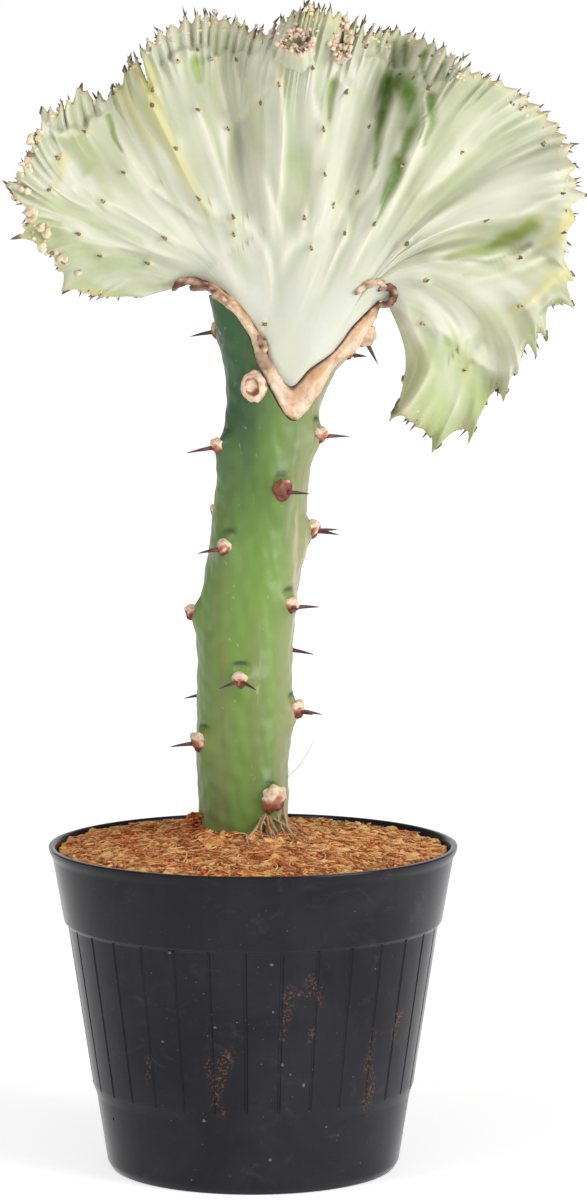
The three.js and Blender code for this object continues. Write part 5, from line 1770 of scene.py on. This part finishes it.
def add_large_nubs(points, front):
    """The largest nubs, each with three small ones beside it."""
    random = points.random
    flat = front[-14:].reshape(-1, 3)
    for x, z, size in LARGE_NUBS:
        nearest = flat[np.argmin((flat[:, 0] - x) ** 2 + (flat[:, 2] - z) ** 2)]
        points.add_nub(nearest + [0, -0.3 * size, 0], size, 0.1)
        for _ in range(3):
            beside = random.normal(0, 1, 3) + [0.6, -0.6, 0.2]
            beside *= 0.95 * size / np.linalg.norm(beside)
            points.add_nub(nearest + beside, 0.4 * size, random.uniform(0.3, 0.9))


def add_rim_points(points, rim):
    """Nubs and a few tips on a rosette: further rings in have fewer, and only on their lower half."""
    random = points.random
    for number, ring in enumerate(rim):
        for place in ring[:: 5 + number]:
            if number > 2 and place[2] > ring[:, 2].mean() - 0.3:
                continue
            spot = place + random.normal(0, 0.4, 3)
            size = random.uniform(0.45, 1.1)
            points.add_nub(spot, size, random.uniform(0.1, 0.75))
            if random.uniform() < 0.22:
                direction = np.array([0, -0.8, 0.6]) + random.normal(0, 0.5, 3)
                points.add_tip(place + [0, -0.6, 0.4], direction, 1.2, 0.5)


def make_crest_points(front, back, rims):
    """Dark spine tips on the face tubercles and along the margin, and the young nubs between."""
    points = CrestPoints()
    add_face_points(points, front, np.array(FACE_TUBERCLES), -1)
    add_face_points(points, back, back_spots(), 1)
    add_horn_points(points, front)
    add_margin_points(points, front)
    add_large_nubs(points, front)
    for rim in rims:
        add_rim_points(points, rim)
    tip_points, tip_faces, layers = gather(points.tips)
    make_piece("crest_spine_tips", tip_points, tip_faces, tip_material(), layers)
    nub_points, nub_faces, layers = gather(points.nubs)
    make_piece("crest_nubs", nub_points, nub_faces, nub_material(), layers)


def back_spots():
    places, _, _ = tooth_columns()
    flat = fan_flat(*np.meshgrid(places, fan_rows(1)))
    return back_tubercles(flat[..., 0], flat[..., 1])


# Coir


def mound_height(x, y):
    centre = np.interp(SOIL_EDGE_HEIGHT, STEM_LEVELS, STEM_CENTRE)
    half_width = np.interp(SOIL_EDGE_HEIGHT, STEM_LEVELS, STEM_HALF_WIDTH)
    from_stem = np.hypot(x - centre, y) - half_width
    mound = np.clip(1 - from_stem / (RIM_RADIUS - half_width), 0, 1) ** 1.5
    return SOIL_EDGE_HEIGHT + SOIL_MOUND_HEIGHT * mound + COIR_LOFT * smooth(8, 30, from_stem)


def make_soil():
    columns, rows = 260, 62
    azimuth = np.linspace(0, TURN, columns, endpoint=False)
    wall = np.stack([COIR_RADIUS * np.sin(azimuth), -COIR_RADIUS * np.cos(azimuth)], axis=-1)
    hole = stem_surface(azimuth, np.full(columns, SOIL_EDGE_HEIGHT), -1.5)[:, :2]
    t = np.linspace(0, 1, rows)[:, None, None]
    plan = mix(hole[None], wall[None], t)
    height = mound_height(plan[..., 0], plan[..., 1])
    surface = np.dstack([plan, height])
    bumps = 0.8 * ripple(surface, 3.2, 61) + 0.4 * ripple(surface, 1.4, 62) + 0.6 * ripple(surface, 9, 63)
    surface[..., 2] += bumps
    under = []
    for level, radius in COIR_RINGS:
        ring = wall / COIR_RADIUS * radius
        under.append(np.column_stack([ring, np.full(columns, level)]))
    points = np.vstack([surface.reshape(-1, 3), *under])
    faces = grid_faces(rows + len(under), columns, closed=True)[:, ::-1]
    # Lighter on the bed's bumps and darker in its dips: painted light and shade
    shade = np.clip(0.5 + 0.25 * bumps, 0, 1).ravel()
    shade = np.concatenate([shade, np.full(columns * len(under), 0.4)])
    piece = make_piece("coir_bed", points, faces, coir_material(), {"shade": shade})
    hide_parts("soil")


def coir_crumb(unit, random):
    radius = 64.5 * math.sqrt(random.uniform(0.03, 1))
    angle = random.uniform(0, TURN)
    x, y = radius * math.sin(angle) - 0.5, -radius * math.cos(angle)
    size = 0.35 + 0.85 * random.uniform() ** 2
    z = float(mound_height(x, y)) + random.uniform(-0.3, 1.0)
    stretch = [random.uniform(1.2, 3.4), random.uniform(0.5, 0.9), random.uniform(0.5, 0.9)]
    local = unit * size * stretch * random.uniform(0.7, 1.3, (len(unit), 1))
    local = local @ frame_of(random.normal(0, 1, 3) * [1, 1, 0.5])
    return local + [x, y, z], random.uniform(0, 1)


def coir_fibre(random):
    """A short curled fibre that lies on the bed and stays inside the wall."""
    radius = 63 * math.sqrt(random.uniform(0.04, 1))
    angle = random.uniform(0, TURN)
    start = np.array([radius * math.sin(angle), -radius * math.cos(angle), 0.0])
    heading = random.uniform(0, TURN)
    curl = random.normal(0, 1.4)
    length = random.uniform(3, 11)
    t = np.linspace(-0.5, 0.5, 6)
    turned = heading + curl * t
    path = start + np.stack([np.cos(turned) * t * length, np.sin(turned) * t * length, 0 * t], axis=-1)
    from_axis = np.hypot(path[:, 0], path[:, 1])
    path[:, :2] *= np.minimum(1, 65 / np.maximum(from_axis, 1))[:, None]
    lift = random.uniform(0.3, 1.6)
    path[:, 2] = mound_height(path[:, 0], path[:, 1]) + lift + random.normal(0, 0.8) * t
    shape, faces, _ = tapered(path, np.full(6, random.uniform(0.1, 0.34)), 4)
    return shape, faces, {"shade": random.choice([0.0, 0.3, 0.7, 1.0])}


def coir_clump_bit(unit, random):
    """One bit of the clump of dark coir caught against the stock on the left."""
    place = np.array([-19.6, -2.0, 117.5]) + random.uniform(-1, 1, 3) * [3.2, 4, 5]
    place[2] = max(place[2], float(mound_height(place[0], place[1])))
    local = unit * random.uniform(0.3, 0.7) * [3.0, 0.9, 0.9] * random.uniform(0.7, 1.3, (len(unit), 1))
    local = local @ frame_of(random.normal(0, 1, 3) + [0.9, 0, -0.7])
    return local + place, random.uniform(0, 0.2)


def make_coir_bits():
    """Crumbs and short fibres of coir lying on the bed."""
    random = np.random.default_rng(19)
    unit, unit_faces = ball(1)
    shapes = []
    for _ in range(COIR_CRUMBS):
        points, shade = coir_crumb(unit, random)
        shapes.append((points, unit_faces, {"shade": shade}))
    for _ in range(COIR_FIBRES):
        shapes.append(coir_fibre(random))
    for _ in range(COIR_CLUMP_BITS):
        points, shade = coir_clump_bit(unit, random)
        shapes.append((points, unit_faces, {"shade": shade}))
    points, faces, layers = gather(shapes)
    make_piece("coir_crumbs", points, faces, coir_material(), layers)


def make_dry_roots():
    """Thin dried roots that run from the lowest shield and the foot of the stock into the coir."""
    random = np.random.default_rng(47)
    shapes = []
    for number in range(40):
        azimuth = math.radians(random.normal(34, 11) if number < 15 else random.uniform(-75, 80))
        top = random.uniform(123, 128) if number < 15 else random.uniform(112, 118)
        outward = np.array([math.sin(azimuth), -math.cos(azimuth), 0.0])
        start = stem_surface(np.array(azimuth), np.array(top), 0.2)
        reach = random.uniform(4, 13)
        swerve = np.array([outward[1], -outward[0], 0]) * random.normal(0, 6)
        end = start + outward * reach + swerve
        end[2] = float(mound_height(end[0], end[1])) + 0.3
        t = np.linspace(0, 1, 9)[:, None]
        path = mix(start, end, t) + swerve * 0.4 * np.sin(t * math.pi)
        path[:, 2] = mix(start[2], end[2], t[:, 0] ** 0.55)
        path[1:] += np.cumsum(random.normal(0, 0.3, (8, 3)), axis=0) * [1, 1, 0.5]
        thick = random.uniform(0.25, 0.6) if number < 15 else random.choice([0.14, 0.2, 0.28, 0.5])
        radii = thick * (1 - 0.6 * t[:, 0])
        shape, faces, along = tapered(path, radii, 6)
        crease = random.uniform(0, 0.5) + 0.2 * along
        shapes.append((shape, faces, {"crease": crease, "inner": 0.7 + 0 * along}))
    # One stray fibre leans out from the stock on the right
    start = stem_surface(np.array(math.radians(80)), np.array(134.5), -0.3)
    t = np.linspace(0, 1, 8)[:, None]
    path = start + np.array([9.5, -1.0, 13.5]) * t + np.array([0.8, 0, -0.8]) * np.sin(t * math.pi)
    shape, faces, along = tapered(path, np.full(8, 0.1), 5)
    shapes.append((shape, faces, {"crease": 0.2 + 0 * along, "inner": 0 * along}))
    points, faces, layers = gather(shapes)
    make_piece("dry_roots", points, faces, callus_material(), layers)


# Studio


FLOOR_GLOW = 0.55
FAR_GLOW = 0.78


def floor_material():
    """Pale and matt, lit a little from within and more so far away, so that no horizon shows."""
    material, tree, shader = new_material("pale_floor", 0.9)
    place = tree.nodes.new("ShaderNodeTexCoord")
    away = tree.nodes.new("ShaderNodeVectorMath")
    away.operation = "LENGTH"
    tree.links.new(place.outputs["Object"], away.inputs[0])
    glow = ranged(tree, away.outputs["Value"], 0.3, 1.6, FLOOR_GLOW, FAR_GLOW)
    tree.links.new(glow, shader.inputs["Emission Strength"])
    shader.inputs["Base Color"].default_value = linear(240, 240, 240)
    shader.inputs["Emission Color"].default_value = (1, 1, 1, 1)
    return material


def make_floor():
    mesh = bpy.data.meshes.new("studio_floor")
    reach = 6.0
    corners = [(-reach, -reach, 0), (reach, -reach, 0), (reach, reach, 0), (-reach, reach, 0)]
    mesh.from_pydata(corners, [], [(0, 1, 2, 3)])
    mesh.materials.append(floor_material())
    floor = linked("studio_floor", mesh)


def make_light(name, place, target, size, power):
    data = bpy.data.lights.new(name, "AREA")
    data.shape = "RECTANGLE"
    data.size, data.size_y = size
    data.energy = power
    light = linked(name, data)
    light.location = place
    light.rotation_euler = (Vector(target) - Vector(place)).to_track_quat("-Z", "Y").to_euler()


def make_world(front, side, back):
    """A white room, brightest straight behind the plant and darkest to the sides."""
    world = bpy.data.worlds.new("studio")
    world.use_nodes = True
    tree = world.node_tree
    direction = tree.nodes.new("ShaderNodeTexCoord")
    split = tree.nodes.new("ShaderNodeSeparateXYZ")
    tree.links.new(direction.outputs["Generated"], split.inputs["Vector"])
    in_front = ranged(tree, split.outputs["Y"], -0.5, 0.1, front, side)
    behind = ranged(tree, split.outputs["Y"], 0.8, 0.97, 0, back)
    strength = math_node(tree, "MAXIMUM", in_front, behind)
    background = tree.nodes["Background"]
    background.inputs["Color"].default_value = (1, 1, 1, 1)
    tree.links.new(strength, background.inputs["Strength"])
    bpy.context.scene.world = world


def make_camera():
    data = bpy.data.cameras.new("camera")
    data.lens = CAMERA_LENS
    data.sensor_width = SENSOR_HEIGHT
    data.clip_end = 30
    camera = linked("camera", data)
    camera.location = Vector(CAMERA_PLACE) * MM
    camera.rotation_euler = (math.pi / 2 - CAMERA_TILT, 0, 0)
    bpy.context.scene.camera = camera


bpy.context.scene.view_settings.view_transform = "Standard"
make_camera()
make_world(0.52, 0.2, 1.02)
make_light("key", (-0.9, -0.9, 1.5), (0, 0, 0.25), (0.5, 0.5), 8.2)
make_light("fill", (1.2, -0.9, 0.6), (0, 0, 0.2), (0.8, 1.0), 17)
make_floor()
make_pot()
make_soil()
make_coir_bits()
make_dry_roots()
make_stem()
make_shields()
make_callus()
crest_front, crest_back = make_crest()
make_graft_scraps(crest_front)
rosette_rims = make_rosettes(crest_front)
make_crest_points(crest_front, crest_back, rosette_rims)
